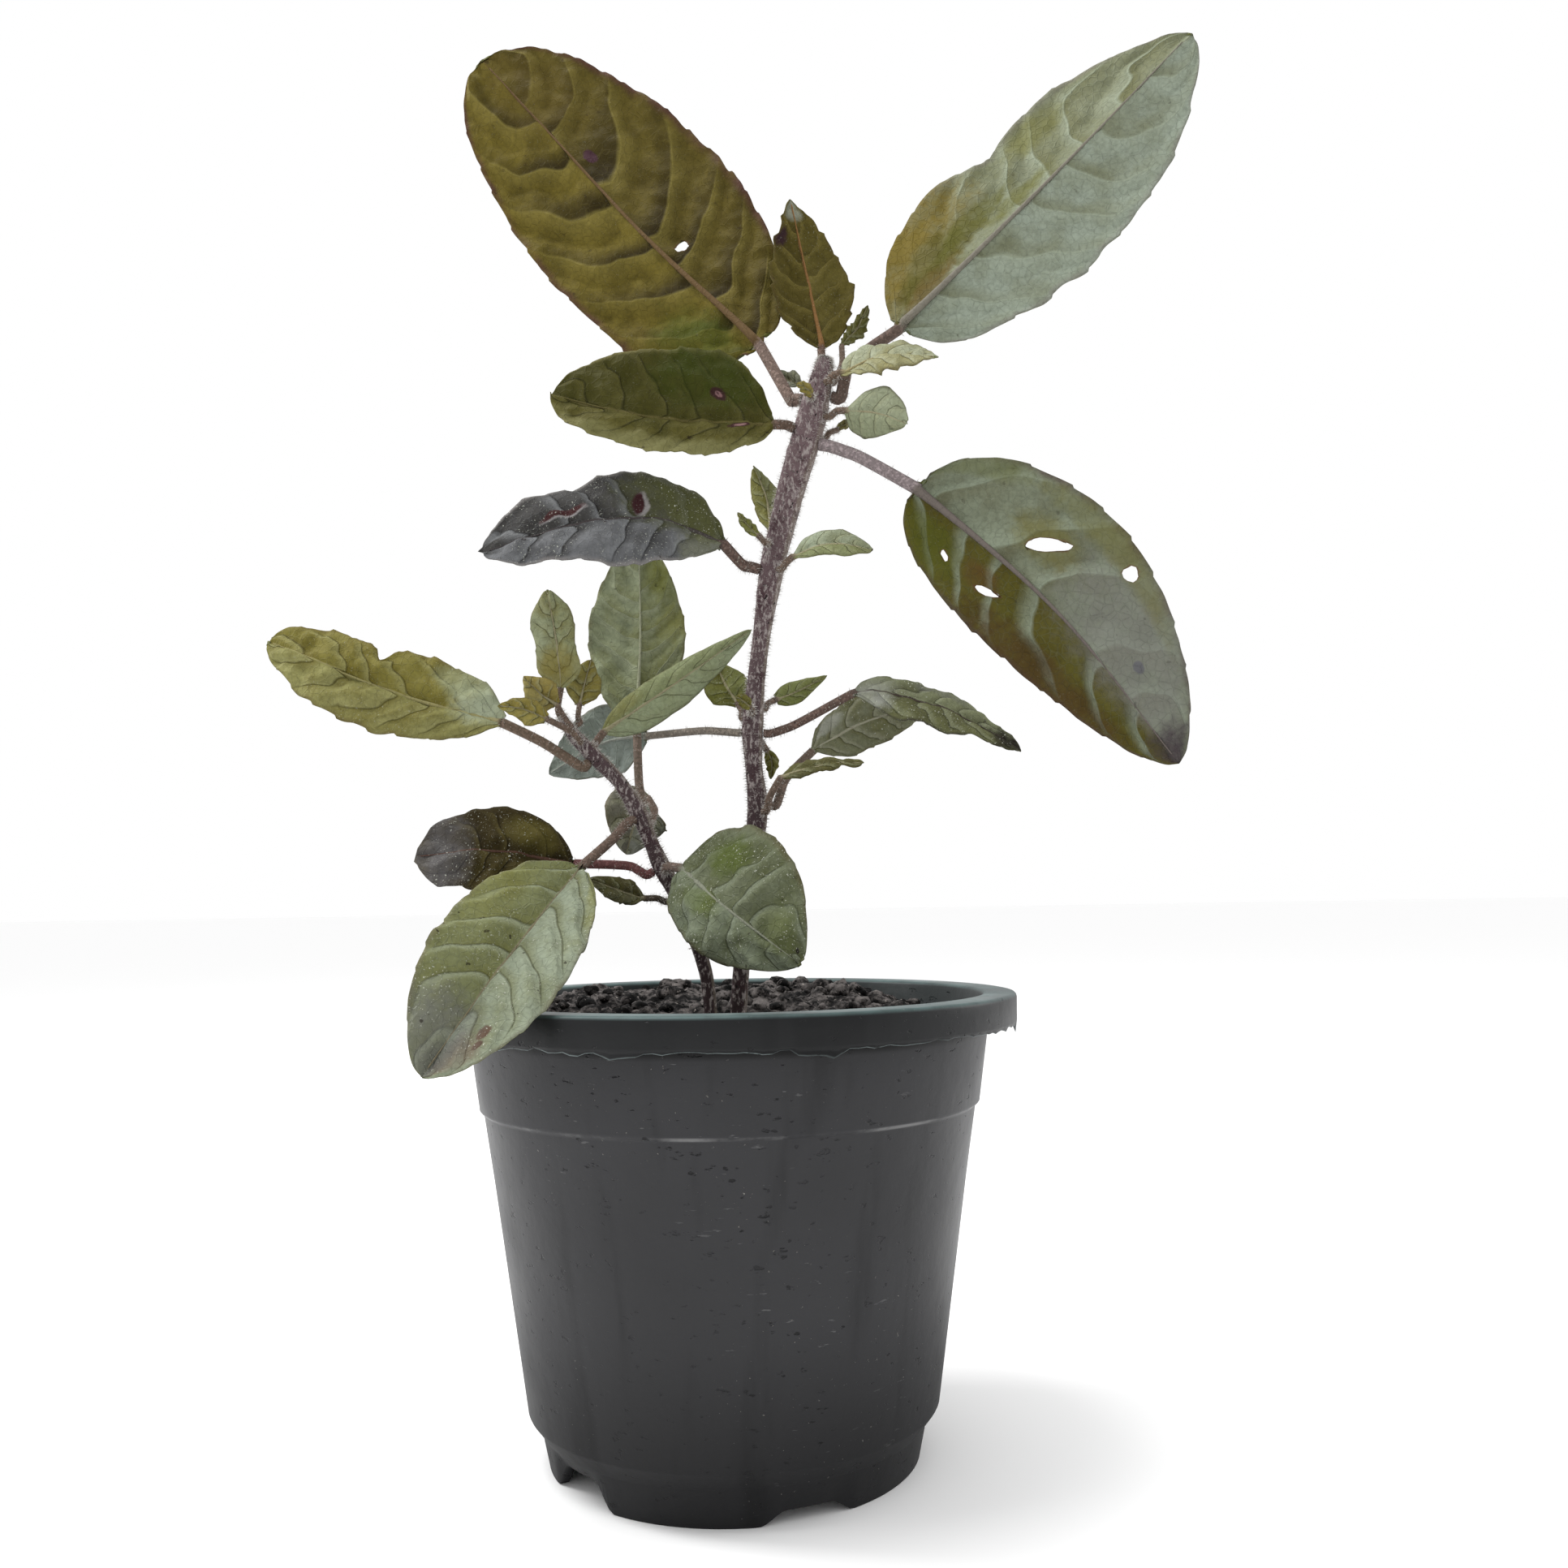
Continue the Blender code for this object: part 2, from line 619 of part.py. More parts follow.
def make_side_upper_leaves():
    """The leaves at the growing tip of the side stem."""
    make_leaf("leaf_side_left", SIDE_STEM, 54.5, [(-42, -8, 58)],
              [(-50, -9, 62), (-76, -8, 70), (-108, 0, 84)],
              (8.8, 8.8), (-3, 3), (0.15, 0.14, 0.05), stalk=1.0, widest=0.5,
              base_power=0.8, tip_power=0.65, rings=11)
    make_leaf("leaf_side_upright", SIDE_STEM, 43, [(-21, 3, 50)],
              [(-22, 9, 63), (-21.5, 14, 86), (-22, 16, 112)],
              (12.8, 10.9), (0, 0), (0.21, 0.23, 0.15), stalk=0.9, widest=0.5,
              base_power=0.7, rings=10, shows_upper=False)
    make_leaf("leaf_side_back", SIDE_STEM, 39, [(-17.5, 4, 43)],
              [(-19.5, 9, 46), (-23, 16, 42), (-26, 20, 33)],
              (8.2, 8.2), (0, 0), (0.16, 0.16, 0.13), stalk=0.8, rings=8)
    make_leaf("leaf_side_long", SIDE_STEM, 56.5, [(-31, 0, 58)],
              [(-29, 1, 61), (-12, 4, 73), (6, 6.5, 86)],
              (4.4, 5.4), (1, 3), (0.19, 0.21, 0.13), stalk=0.8, widest=0.36, rings=9)
    make_leaf("leaf_tip_upright", SIDE_STEM, 62, [(-39, -3, 66)],
              [(-38, -4.5, 71), (-38.5, -8, 81), (-40.5, -9, 93)],
              (4.8, 4.4), (0, 0), (0.2, 0.21, 0.13), stalk=0.6, rings=8)
    make_leaf("leaf_tip_left", SIDE_STEM, 60.5, [(-37, -8.5, 64)],
              [(-38, -9.5, 66), (-41, -12, 68), (-45, -13, 72)],
              (2.2, 2.2), (0, 0), (0.22, 0.19, 0.08), stalk=0.5, rings=6)
    make_leaf("leaf_tip_right", SIDE_STEM, 61, [(-34.2, -4, 64)],
              [(-34, -3, 67), (-33, -2, 72), (-31.5, -1, 78)],
              (2.4, 2.2), (0, 0), (0.17, 0.15, 0.06), stalk=0.5, rings=6)
    make_leaf("leaf_tip_front", SIDE_STEM, 57.5, [(-35, -10.5, 60)],
              [(-39, -14, 62), (-44, -18, 64), (-49, -21, 64.5)],
              (1.4, 1.4), (0, 0), (0.2, 0.18, 0.07), stalk=0.6, rings=6)


def make_side_lower_leaves():
    """The big leaves low on the side stem; one hangs over the rim."""
    make_leaf("leaf_side_dark", SIDE_STEM, 29, [(-23, -8, 29.5)],
              [(-34, -11, 30), (-51, -16, 33), (-68, -17, 32)],
              (8.9, 9.3), (-4, 4), (0.05, 0.045, 0.02), stalk=0.9, rings=9)
    make_leaf("leaf_side_hanging", SIDE_STEM, 40.5, [(-25.5, -13, 35)],
              [(-31, -21, 29), (-42, -48, 10), (-54, -64, -10)],
              (13, 14.5), (-8, -3), (0.2, 0.22, 0.15), stalk=1.0, widest=0.45,
              base_power=0.7, tip_power=0.6, rings=11, hangs=True)
    make_leaf("leaf_side_small", SIDE_STEM, 22, [(-16, -8, 22)],
              [(-18.5, -10, 22), (-24, -15, 24), (-30, -18, 26.5)],
              (2.7, 2.9), (0, 0), (0.07, 0.07, 0.04), stalk=0.6, rings=7)
    make_leaf("leaf_side_front", SIDE_STEM, 28, [(-13, -11, 29)],
              [(-10, -15, 28.5), (-1, -30, 21), (8, -36, 14), (16, -38, 8)],
              (14.2, 9.6), (2, 2), (0.17, 0.18, 0.12), stalk=1.0, widest=0.34,
              base_power=0.6, tip_power=0.65, rings=11)


clear_scene()
make_pot()
make_stems()
make_soil()
make_crown_leaves()
make_upper_leaves()
make_middle_leaves()
make_lower_leaves()
make_side_upper_leaves()
make_side_lower_leaves()
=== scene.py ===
"""Potted holy basil: the finished look of every piece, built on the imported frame."""

import math
import random

import bmesh
import bpy
from mathutils import Matrix, Vector, noise


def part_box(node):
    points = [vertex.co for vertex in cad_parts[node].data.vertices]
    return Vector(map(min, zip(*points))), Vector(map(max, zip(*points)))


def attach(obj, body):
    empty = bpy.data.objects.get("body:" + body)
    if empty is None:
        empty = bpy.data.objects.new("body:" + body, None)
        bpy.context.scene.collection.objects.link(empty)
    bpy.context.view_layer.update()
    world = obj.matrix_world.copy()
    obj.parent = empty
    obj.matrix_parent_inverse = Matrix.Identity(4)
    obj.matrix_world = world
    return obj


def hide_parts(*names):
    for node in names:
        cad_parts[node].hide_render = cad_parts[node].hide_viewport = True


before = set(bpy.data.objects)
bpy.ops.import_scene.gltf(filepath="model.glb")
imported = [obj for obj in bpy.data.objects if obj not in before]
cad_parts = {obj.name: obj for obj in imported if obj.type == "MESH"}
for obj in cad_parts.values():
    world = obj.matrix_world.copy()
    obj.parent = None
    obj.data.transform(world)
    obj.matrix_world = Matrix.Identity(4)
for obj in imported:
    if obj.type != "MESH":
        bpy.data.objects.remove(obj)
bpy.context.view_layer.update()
MM = 0.001

# ---------------------------------------------------------------- studio
# A pale floor under soft light from a bright surround, a broad lamp above and one at each side.
# The camera stands close in front of the pot, a little above its rim, and looks slightly up.

FLOOR_SIZE = 60.0
FLOOR_GREY = 0.97
CAMERA_DISTANCE = 0.3202
CAMERA_OVER_RIM = 0.0202
CAMERA_TO_THE_RIGHT = 0.01315
CAMERA_LOOKS_UP = math.radians(4.98)
CAMERA_ROLL = -0.0161
CAMERA_LENS = 31.68
SENSOR_WIDTH = 36


def put(name, data):
    """A new object in the scene."""
    made = bpy.data.objects.new(name, data)
    bpy.context.scene.collection.objects.link(made)
    return made


def put_mesh(name, bm):
    """A new object made from a bmesh, which is freed."""
    mesh = bpy.data.meshes.new(name)
    bm.to_mesh(mesh)
    bm.free()
    return put(name, mesh)


floor_bm = bmesh.new()
bmesh.ops.create_grid(floor_bm, x_segments=1, y_segments=1, size=FLOOR_SIZE / 2)
floor = put_mesh("floor", floor_bm)
paper = bpy.data.materials.new("studio_paper")
paper.use_nodes = True
paper_shader = paper.node_tree.nodes["Principled BSDF"]
paper_shader.inputs["Base Color"].default_value = (FLOOR_GREY, FLOOR_GREY, FLOOR_GREY, 1)
paper_shader.inputs["Roughness"].default_value = 0.9
floor.data.materials.append(paper)

surround = bpy.data.worlds.new("surround")
surround.use_nodes = True
surround.node_tree.nodes["Background"].inputs["Color"].default_value = (1, 1, 1, 1)
surround.node_tree.nodes["Background"].inputs["Strength"].default_value = 1.0
bpy.context.scene.world = surround
bpy.context.scene.view_settings.view_transform = "Standard"


def soft_lamp(name, place, target, size, watts):
    """A square lamp at a place, aimed at a target, with its size in metres."""
    light = bpy.data.lights.new(name, "AREA")
    light.shape = "SQUARE"
    light.size = size
    light.energy = watts
    lamp = put(name, light)
    lamp.location = place
    lamp.rotation_mode = "QUATERNION"
    lamp.rotation_quaternion = (Vector(target) - Vector(place)).to_track_quat("-Z", "Y")


soft_lamp("lamp_above", (-0.35, -0.1, 1.1), (0, 0, 0.15), 0.5, 7)
soft_lamp("lamp_left", (-0.8, 0.15, 0.8), (0, 0, 0.1), 0.3, 5)
soft_lamp("lamp_right", (1.1, 0.3, 0.45), (0, 0, 0.15), 0.5, 3)

rim_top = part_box("pot")[1].z
camera = put("camera", bpy.data.cameras.new("camera"))
camera.data.lens = CAMERA_LENS
camera.data.sensor_width = SENSOR_WIDTH
camera.data.clip_start = 0.01
camera.matrix_world = (
    Matrix.Translation((CAMERA_TO_THE_RIGHT, -CAMERA_DISTANCE, rim_top + CAMERA_OVER_RIM))
    @ Matrix.Rotation(math.pi / 2 + CAMERA_LOOKS_UP, 4, "X")
    @ Matrix.Rotation(CAMERA_ROLL, 4, "Z")
)
bpy.context.scene.camera = camera

# ---------------------------------------------------------------- pot
# One thin-walled nursery pot, injection moulded in dark plastic. It has a flat lip with a hanging
# skirt, a ragged flash of moulding waste along the skirt, an upper band and a notched foot.

POT_SIDES = 240
POT_HEIGHT = rim_top
RIM_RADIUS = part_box("pot")[1].x
LIP_WIDTH = 7.2 * MM
SKIRT_HEIGHT = 6.2 * MM
WALL = 1.3 * MM
BAND_HEIGHT = 23.5 * MM
BAND_STEP = 1.0 * MM
FOOT_RADIUS = 41.0 * MM
FOOT_WALL = 2.4 * MM
FOOT_FLARE = 12.0 * MM
FLOOR_UNDER = 6.5 * MM
FLOOR_TOP = 8.1 * MM
NOTCHES = 5
NOTCH_FIRST = math.radians(5)
NOTCH_HALF_WIDTH = 10.5 * MM
NOTCH_HEIGHT = 5.4 * MM
DRAIN_RADIUS = 4.2 * MM
# The longest tabs of flash: the angle in degrees, half the width in degrees, and the drop in mm.
FLASH_TABS = ((253, 2.2, 0.9), (289, 2.6, 1.3), (347, 1.2, 2.2), (98, 2.5, 1.1), (170, 3.0, 0.8))


def tint(red, green, blue):
    """A colour given in display values from 0 to 255, as the shader's linear colour."""
    return tuple((c / 255) ** 2.2 for c in (red, green, blue)) + (1.0,)


def wire(tree, kind, inputs, out=0, **settings):
    """One of a new shader node's outputs. Its inputs are given by place or name."""
    made = tree.nodes.new("ShaderNode" + kind)
    for name, value in settings.items():
        setattr(made, name, value)
    for key, value in inputs.items():
        if isinstance(value, bpy.types.NodeSocket):
            tree.links.new(value, made.inputs[key])
        else:
            made.inputs[key].default_value = value
    return made.outputs[out]


def new_finish(name, roughness, specular=0.4):
    """A material with its shader and the piece's own coordinates."""
    made = bpy.data.materials.new(name)
    made.use_nodes = True
    tree = made.node_tree
    shader = tree.nodes["Principled BSDF"]
    shader.inputs["Roughness"].default_value = roughness
    shader.inputs["Specular IOR Level"].default_value = specular
    return made, tree, shader, wire(tree, "TexCoord", {}, 3)


def grain(where, scale, detail=4.0, roughness=0.55, stretch=None):
    """Cloudy noise on the piece, scale in lumps to the metre."""
    tree = where.id_data
    if stretch:
        where = wire(tree, "Mapping", {0: where, 3: stretch})
    inputs = {"Vector": where, "Scale": scale, "Detail": detail, "Roughness": roughness}
    return wire(tree, "TexNoise", inputs)


def between(value, low, high, start=0.0, end=1.0):
    """value taken smoothly from start to end as it goes from low to high."""
    inputs = {0: value, 1: low, 2: high, 3: start, 4: end}
    return wire(value.id_data, "MapRange", inputs, interpolation_type="SMOOTHSTEP")


def calc(operation, first, second=0.0):
    """A sum on a node's output, named as the Math node names it."""
    return wire(first.id_data, "Math", {0: first, 1: second}, operation=operation)


def times(first, second):
    return calc("MULTIPLY", first, second)


def plus(first, second):
    return calc("ADD", first, second)


def stored(tree, name):
    """A number kept at each corner of the mesh."""
    return wire(tree, "Attribute", {}, 2, attribute_name=name)


def blend(share, first, second):
    """Two colours mixed."""
    return wire(share.id_data, "Mix", {0: share, 6: first, 7: second}, 2, data_type="RGBA")


def coat(under, share, colour, strength=1.0):
    """A colour, in display values, laid over another where share is high."""
    if strength != 1.0:
        share = times(share, strength)
    return blend(share, under, tint(*colour))


def relief(shader, height, depth):
    """Fine bumps, depth in metres where height is 1."""
    tree = height.id_data
    bumped = wire(tree, "Bump", {"Height": height, "Distance": depth, "Strength": 1.0})
    tree.links.new(bumped, shader.inputs["Normal"])


def paint(shader, colour):
    colour.id_data.links.new(colour, shader.inputs["Base Color"])


def add_piece(name, bm, finishes, slot, *nodes):
    """The finished piece from its mesh, riding on the root body in place of its CAD nodes."""
    for face in bm.faces:
        face.smooth = True
    piece = put_mesh(name, bm)
    for finish in finishes:
        piece.data.materials.append(finish)
    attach(piece, "root")
    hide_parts(*nodes)
    return piece


def pot_outline():
    """The pot's section from the middle of the underside, out round the lip and back to the floor."""
    step = POT_HEIGHT - BAND_HEIGHT
    lip_inner = RIM_RADIUS - LIP_WIDTH
    band = lip_inner - 1.6 * MM
    skirt_inner = RIM_RADIUS - WALL
    skirt_bottom = POT_HEIGHT - SKIRT_HEIGHT
    foot_inner = FOOT_RADIUS - FOOT_WALL
    flare = FOOT_RADIUS + 1.9 * MM
    flare_height = 0.7 * FOOT_FLARE
    heel = FOOT_RADIUS + 4.6 * MM
    fine = 0.25 * MM
    outline = [
        (0.0, FLOOR_UNDER),
        (foot_inner - fine, FLOOR_UNDER),
        (foot_inner, FLOOR_UNDER - fine),
        (foot_inner, fine),
        (foot_inner + fine, 0.0),
        (FOOT_RADIUS - fine, 0.0),
        (FOOT_RADIUS, fine),
        (flare - fine, flare_height - 2 * fine),
        (flare, flare_height - fine),
        (flare + fine, flare_height + fine),
        (heel - fine, FOOT_FLARE - 2 * fine),
        (heel, FOOT_FLARE),
    ]
    for share in (0.25, 0.5, 0.75):
        outline.append((heel + (band - BAND_STEP - heel) * share, FOOT_FLARE + (step - FOOT_FLARE) * share))
    outline += [
        (band - BAND_STEP, step - 1.1 * MM),
        (band - BAND_STEP + 0.1 * MM, step - 0.8 * MM),
        (band - 0.2 * MM, step - fine),
        (band, step),
        (band + 0.03 * MM, step + 0.4 * MM),
        (lip_inner + WALL - 0.6 * MM, POT_HEIGHT - WALL - 6 * MM),
        (lip_inner + WALL - 0.4 * MM, POT_HEIGHT - WALL - fine),
        (lip_inner + WALL, POT_HEIGHT - WALL),
        (skirt_inner - fine, POT_HEIGHT - WALL),
        (skirt_inner, POT_HEIGHT - WALL - fine),
        (skirt_inner, skirt_bottom + fine),
        (skirt_inner + fine, skirt_bottom),
        (RIM_RADIUS - fine - 0.1 * MM, skirt_bottom),
        (RIM_RADIUS - 0.1 * MM, skirt_bottom + fine),
        (RIM_RADIUS - 0.05 * MM, (skirt_bottom + POT_HEIGHT) / 2),
        (RIM_RADIUS, POT_HEIGHT - 1.0 * MM),
        (RIM_RADIUS - 0.15 * MM, POT_HEIGHT - 0.45 * MM),
        (RIM_RADIUS - 0.5 * MM, POT_HEIGHT - 0.1 * MM),
        (RIM_RADIUS - 1.0 * MM, POT_HEIGHT),
        (lip_inner + 0.5 * MM, POT_HEIGHT),
        (lip_inner, POT_HEIGHT - 0.2 * MM),
        (lip_inner - 0.4 * MM, POT_HEIGHT - 0.8 * MM),
        (band - WALL, step + 0.6 * MM),
        (band - BAND_STEP - WALL, step - 1.0 * MM),
        (heel - WALL, FOOT_FLARE + 0.6 * MM),
        (flare - WALL, FLOOR_TOP),
        (0.0, FLOOR_TOP),
    ]
    return outline


def notch_rise(angle, radius):
    """How far the foot's bottom edge is arched up at an angle, for the drain notches.

    The last notch was moulded short: flash fills it to about half its height.
    """
    pitch = math.tau / NOTCHES
    turned = (angle - NOTCH_FIRST + pitch / 2) % math.tau
    away = abs(turned % pitch - pitch / 2) * radius
    share = min(max((NOTCH_HALF_WIDTH - away) / (0.55 * NOTCH_HALF_WIDTH), 0.0), 1.0)
    filled = 0.5 if int(turned / pitch) == NOTCHES - 1 else 1.0
    return filled * NOTCH_HEIGHT * share * share * (3 - 2 * share)


def flash_drop(angle):
    """How far the ragged moulding flash hangs below the skirt at an angle."""
    turn = Vector((math.cos(angle), math.sin(angle), 0))
    ragged = 0.6 + 0.8 * noise.noise(turn * 5) + 0.9 * noise.noise(turn * 17) + 0.5 * noise.noise(turn * 60)
    tabs = 0.0
    for place, wide, deep in FLASH_TABS:
        off = (math.degrees(angle) - place + 180) % 360 - 180
        tabs += deep * math.exp(-((off / wide) ** 2))
    return max(ragged + tabs, 0.05) * MM


pot_bm = bmesh.new()
flash_edge = pot_bm.verts.layers.float.new("flash_edge")
pot_corners = [pot_bm.verts.new((r, 0.0, z)) for r, z in pot_outline()]
pot_edges = [pot_bm.edges.new(pair) for pair in zip(pot_corners, pot_corners[1:])]
bmesh.ops.spin(
    pot_bm, geom=pot_corners + pot_edges, cent=(0, 0, 0), axis=(0, 0, 1), angle=math.tau, steps=POT_SIDES,
    use_merge=True,
)
bmesh.ops.remove_doubles(pot_bm, verts=pot_bm.verts, dist=1e-7)
skirt_bottom = POT_HEIGHT - SKIRT_HEIGHT
for corner in pot_bm.verts:
    radius = math.hypot(corner.co.x, corner.co.y)
    angle = math.atan2(corner.co.y, corner.co.x)
    on_foot = FOOT_RADIUS - FOOT_WALL - 0.1 * MM < radius < FOOT_RADIUS + 0.1 * MM
    if on_foot and corner.co.z < 0.3 * MM:
        corner.co.z += notch_rise(angle, FOOT_RADIUS)
    on_skirt = radius > RIM_RADIUS - WALL - 0.1 * MM
    if on_skirt and corner.co.z < skirt_bottom + 0.1 * MM:
        if radius > RIM_RADIUS - WALL + 0.4 * MM:
            corner.co.z -= flash_drop(angle)
            corner[flash_edge] = 1.0
bmesh.ops.recalc_face_normals(pot_bm, faces=pot_bm.faces)

pot_finish, tree, shader, where = new_finish("dark_moulded_plastic", 0.42, 0.2)
height = wire(tree, "SeparateXYZ", {0: where}, 2)
cloud = grain(where, 24, 5)
speck = grain(where, 1300, 2)
drips = grain(where, 90, 4, 0.5, (1.0, 1.0, 0.06))
nicks = grain(where, 300, 3, 0.6, (1.0, 1.0, 2.2))
scrape = grain(where, 500, 3, 0.7, (0.35, 0.35, 1.6))
dusty = times(between(speck, 0.71, 0.77), between(cloud, 0.5, 0.62))
# The top of the lip, where a mottled light teal is painted on as a highlight.
lip = between(height, POT_HEIGHT - 0.9 * MM, POT_HEIGHT - 0.1 * MM)
skirt = between(height, skirt_bottom - 3.4 * MM, skirt_bottom - 2.6 * MM)
on_flash = stored(tree, "flash_edge")
# The flash's ragged lower edge, painted as a thin light line: a painted highlight.
flash = between(on_flash, 0.8, 0.97)
flat = wire(tree, "VectorMath", {0: where, 1: (1.0, 1.0, 0.0)}, operation="MULTIPLY")
out = wire(tree, "VectorMath", {0: flat}, 1, operation="LENGTH")
# Painted shade, near black, on the walls under the lip and just inside it.
under_lip_shade = between(out, RIM_RADIUS - 2.0 * MM, RIM_RADIUS - 3.5 * MM)
under_lip_shade = times(under_lip_shade, between(height, skirt_bottom - 3.0 * MM, skirt_bottom - 1.4 * MM))
under_lip_shade = times(under_lip_shade, between(height, POT_HEIGHT - 0.8 * MM, POT_HEIGHT - 1.6 * MM))
off_step = calc("ABSOLUTE", calc("SUBTRACT", height, POT_HEIGHT - BAND_HEIGHT - 0.3 * MM))
step_line = between(off_step, 0.55 * MM, 0.15 * MM)
foot = between(height, 46 * MM, 6 * MM)
colour = blend(cloud, tint(36, 36, 37), tint(55, 55, 57))
colour = coat(colour, between(drips, 0.5, 0.7, 0.0, 0.5), (22, 22, 23))
nicked = times(between(nicks, 0.66, 0.71), between(cloud, 0.5, 0.62, 0.1, 0.8))
colour = coat(colour, nicked, (7, 7, 8))
scraped = times(between(scrape, 0.66, 0.72), between(cloud, 0.5, 0.6, 0.0, 0.4))
colour = coat(colour, scraped, (104, 104, 104))
colour = coat(colour, foot, (10, 10, 11), 0.6)
on_skirt = times(skirt, between(out, RIM_RADIUS - 2.0 * MM, RIM_RADIUS - 1.0 * MM))
colour = coat(colour, on_skirt, (10, 13, 14), 0.75)
# The painted shade under and just inside the lip.
colour = coat(colour, under_lip_shade, (4, 4, 5), 0.9)
# Painted shade, dark teal, on the faces that look in towards the pot's middle, such as its inner wall.
facing = wire(tree, "NewGeometry", {}, 1)
facing_out = wire(tree, "VectorMath", {0: facing, 1: flat}, 1, operation="DOT_PRODUCT")
inner_wall_shade = between(facing_out, -0.01, -0.03, 0.0, 0.7)
colour = coat(colour, inner_wall_shade, (20, 31, 31))
# Painted highlight: mottled light teal on the lip's top and a light line along the flash's ragged edge. The
# same mottle breaks up the chalky line along the band's step.
highlight_and_chalk_mottle = grain(where, 60, 5, 0.6)
colour = coat(colour, times(lip, between(highlight_and_chalk_mottle, 0.3, 0.65, 0.35, 0.9)), (80, 98, 97))
colour = coat(colour, times(flash, between(highlight_and_chalk_mottle, 0.35, 0.6, 0.15, 0.9)), (112, 122, 122))
chalky = between(highlight_and_chalk_mottle, 0.42, 0.62, 0.0, 0.7)
colour = coat(colour, times(step_line, chalky), (116, 116, 116))
colour = coat(colour, dusty, (150, 148, 142), 0.5)
paint(shader, colour)
rough = between(cloud, 0.3, 0.7, 0.38, 0.52)
rough = plus(rough, times(dusty, 0.3))
rough = plus(rough, times(foot, 0.2))
tree.links.new(rough, shader.inputs["Roughness"])
uneven = times(grain(where, 260, 5), 0.6)
scuffs = calc("SUBTRACT", uneven, between(nicks, 0.64, 0.71))
relief(shader, plus(scuffs, times(dusty, 0.8)), 0.18 * MM)

pot = add_piece("nursery_pot", pot_bm, [pot_finish], "pot_plastic", "pot")

# Five round drain holes go through the raised floor, one behind each notch.
drain_bm = bmesh.new()
for number in range(NOTCHES):
    angle = NOTCH_FIRST + math.tau * number / NOTCHES
    reach = FOOT_RADIUS - FOOT_WALL - 1.7 * DRAIN_RADIUS
    centre = Vector((reach * math.cos(angle), reach * math.sin(angle), (FLOOR_UNDER + FLOOR_TOP) / 2))
    bmesh.ops.create_cone(
        drain_bm, cap_ends=True, segments=40, radius1=DRAIN_RADIUS, radius2=DRAIN_RADIUS, depth=5 * MM,
        matrix=Matrix.Translation(centre),
    )
drain_cutters = put_mesh("drain_cutters", drain_bm)
drilling = pot.modifiers.new("drain_holes", "BOOLEAN")
drilling.solver = "EXACT"
drilling.object = drain_cutters
bpy.context.view_layer.update()
drilled = bpy.data.meshes.new_from_object(pot.evaluated_get(bpy.context.evaluated_depsgraph_get()))
pot.modifiers.clear()
pot.data = drilled
bpy.data.objects.remove(drain_cutters)

# ---------------------------------------------------------------- potting mix
# Dark peat and bark potting mix, filled to a few millimetres below the rim. The top is lumpy, with
# loose crumbs and a few fibres lying on it; the sides follow the pot's wall with a hair's gap.

MIX_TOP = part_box("potting_mix")[1].z
MIX_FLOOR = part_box("potting_mix")[0].z
MIX_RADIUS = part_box("potting_mix")[1].x
MIX_CELLS = 150
CRUMBS = 420
CRUMB_RADIUS = 2.7 * MM
PLAIN_CRUMB_RADIUS = 0.8 * MM
FIBRES = 45


def join(bm, small):
    """A small bmesh's shapes added to a big one."""
    carrier = bpy.data.meshes.new("carrier")
    small.to_mesh(carrier)
    small.free()
    bm.from_mesh(carrier)
    bpy.data.meshes.remove(carrier)


def mix_height(x, y):
    """The lumpy top of the mix over a point, in metres."""
    where = Vector((x, y, 0.0)) / MM
    lumps = 1.5 * noise.noise(where / 9.0) + 1.9 * abs(noise.noise(where / 4.6 + Vector((3, 1, 7))))
    crumbs = 0.75 * abs(noise.noise(where / 1.9)) + 0.32 * noise.noise(where / 0.85)
    mound = 4.6 * min(max(y / (34 * MM), 0.0), 1.0) * min(max((46 * MM - x) / (16 * MM), 0.0), 1.0)
    return MIX_TOP + (1.2 * lumps + 1.3 * crumbs - 1.5 + mound) * MM


mix_bm = bmesh.new()
bmesh.ops.create_grid(mix_bm, x_segments=MIX_CELLS, y_segments=MIX_CELLS, size=1.0)
for corner in mix_bm.verts:
    x, y = corner.co.x, corner.co.y
    round_x = x * math.sqrt(1 - y * y / 2)
    round_y = y * math.sqrt(1 - x * x / 2)
    corner.co = Vector((round_x, round_y, 0.0)) * (MIX_RADIUS - 0.3 * MM)
    corner.co.z = mix_height(corner.co.x, corner.co.y)
rim_edges = [edge for edge in mix_bm.edges if edge.is_boundary]
for radius, level in (
    (MIX_RADIUS - 2.6 * MM, POT_HEIGHT - BAND_HEIGHT),
    (FOOT_RADIUS + 2.6 * MM, FOOT_FLARE + 1.5 * MM),
    (FOOT_RADIUS - 0.5 * MM, MIX_FLOOR),
):
    grown = bmesh.ops.extrude_edge_only(mix_bm, edges=rim_edges)["geom"]
    rim_edges = [item for item in grown if isinstance(item, bmesh.types.BMEdge)]
    for corner in {v for edge in rim_edges for v in edge.verts}:
        flat = Vector((corner.co.x, corner.co.y, 0.0)).normalized() * radius
        corner.co = Vector((flat.x, flat.y, level))
bmesh.ops.holes_fill(mix_bm, edges=rim_edges, sides=0)
bmesh.ops.recalc_face_normals(mix_bm, faces=mix_bm.faces)
draw = random.Random(11)
loose_bm = bmesh.new()


def scatter(inset):
    """A place on the mix, evenly likely everywhere but within the inset from its rim."""
    reach = (MIX_RADIUS - inset) * math.sqrt(draw.random())
    turn = draw.uniform(0, math.tau)
    return reach * math.cos(turn), reach * math.sin(turn)


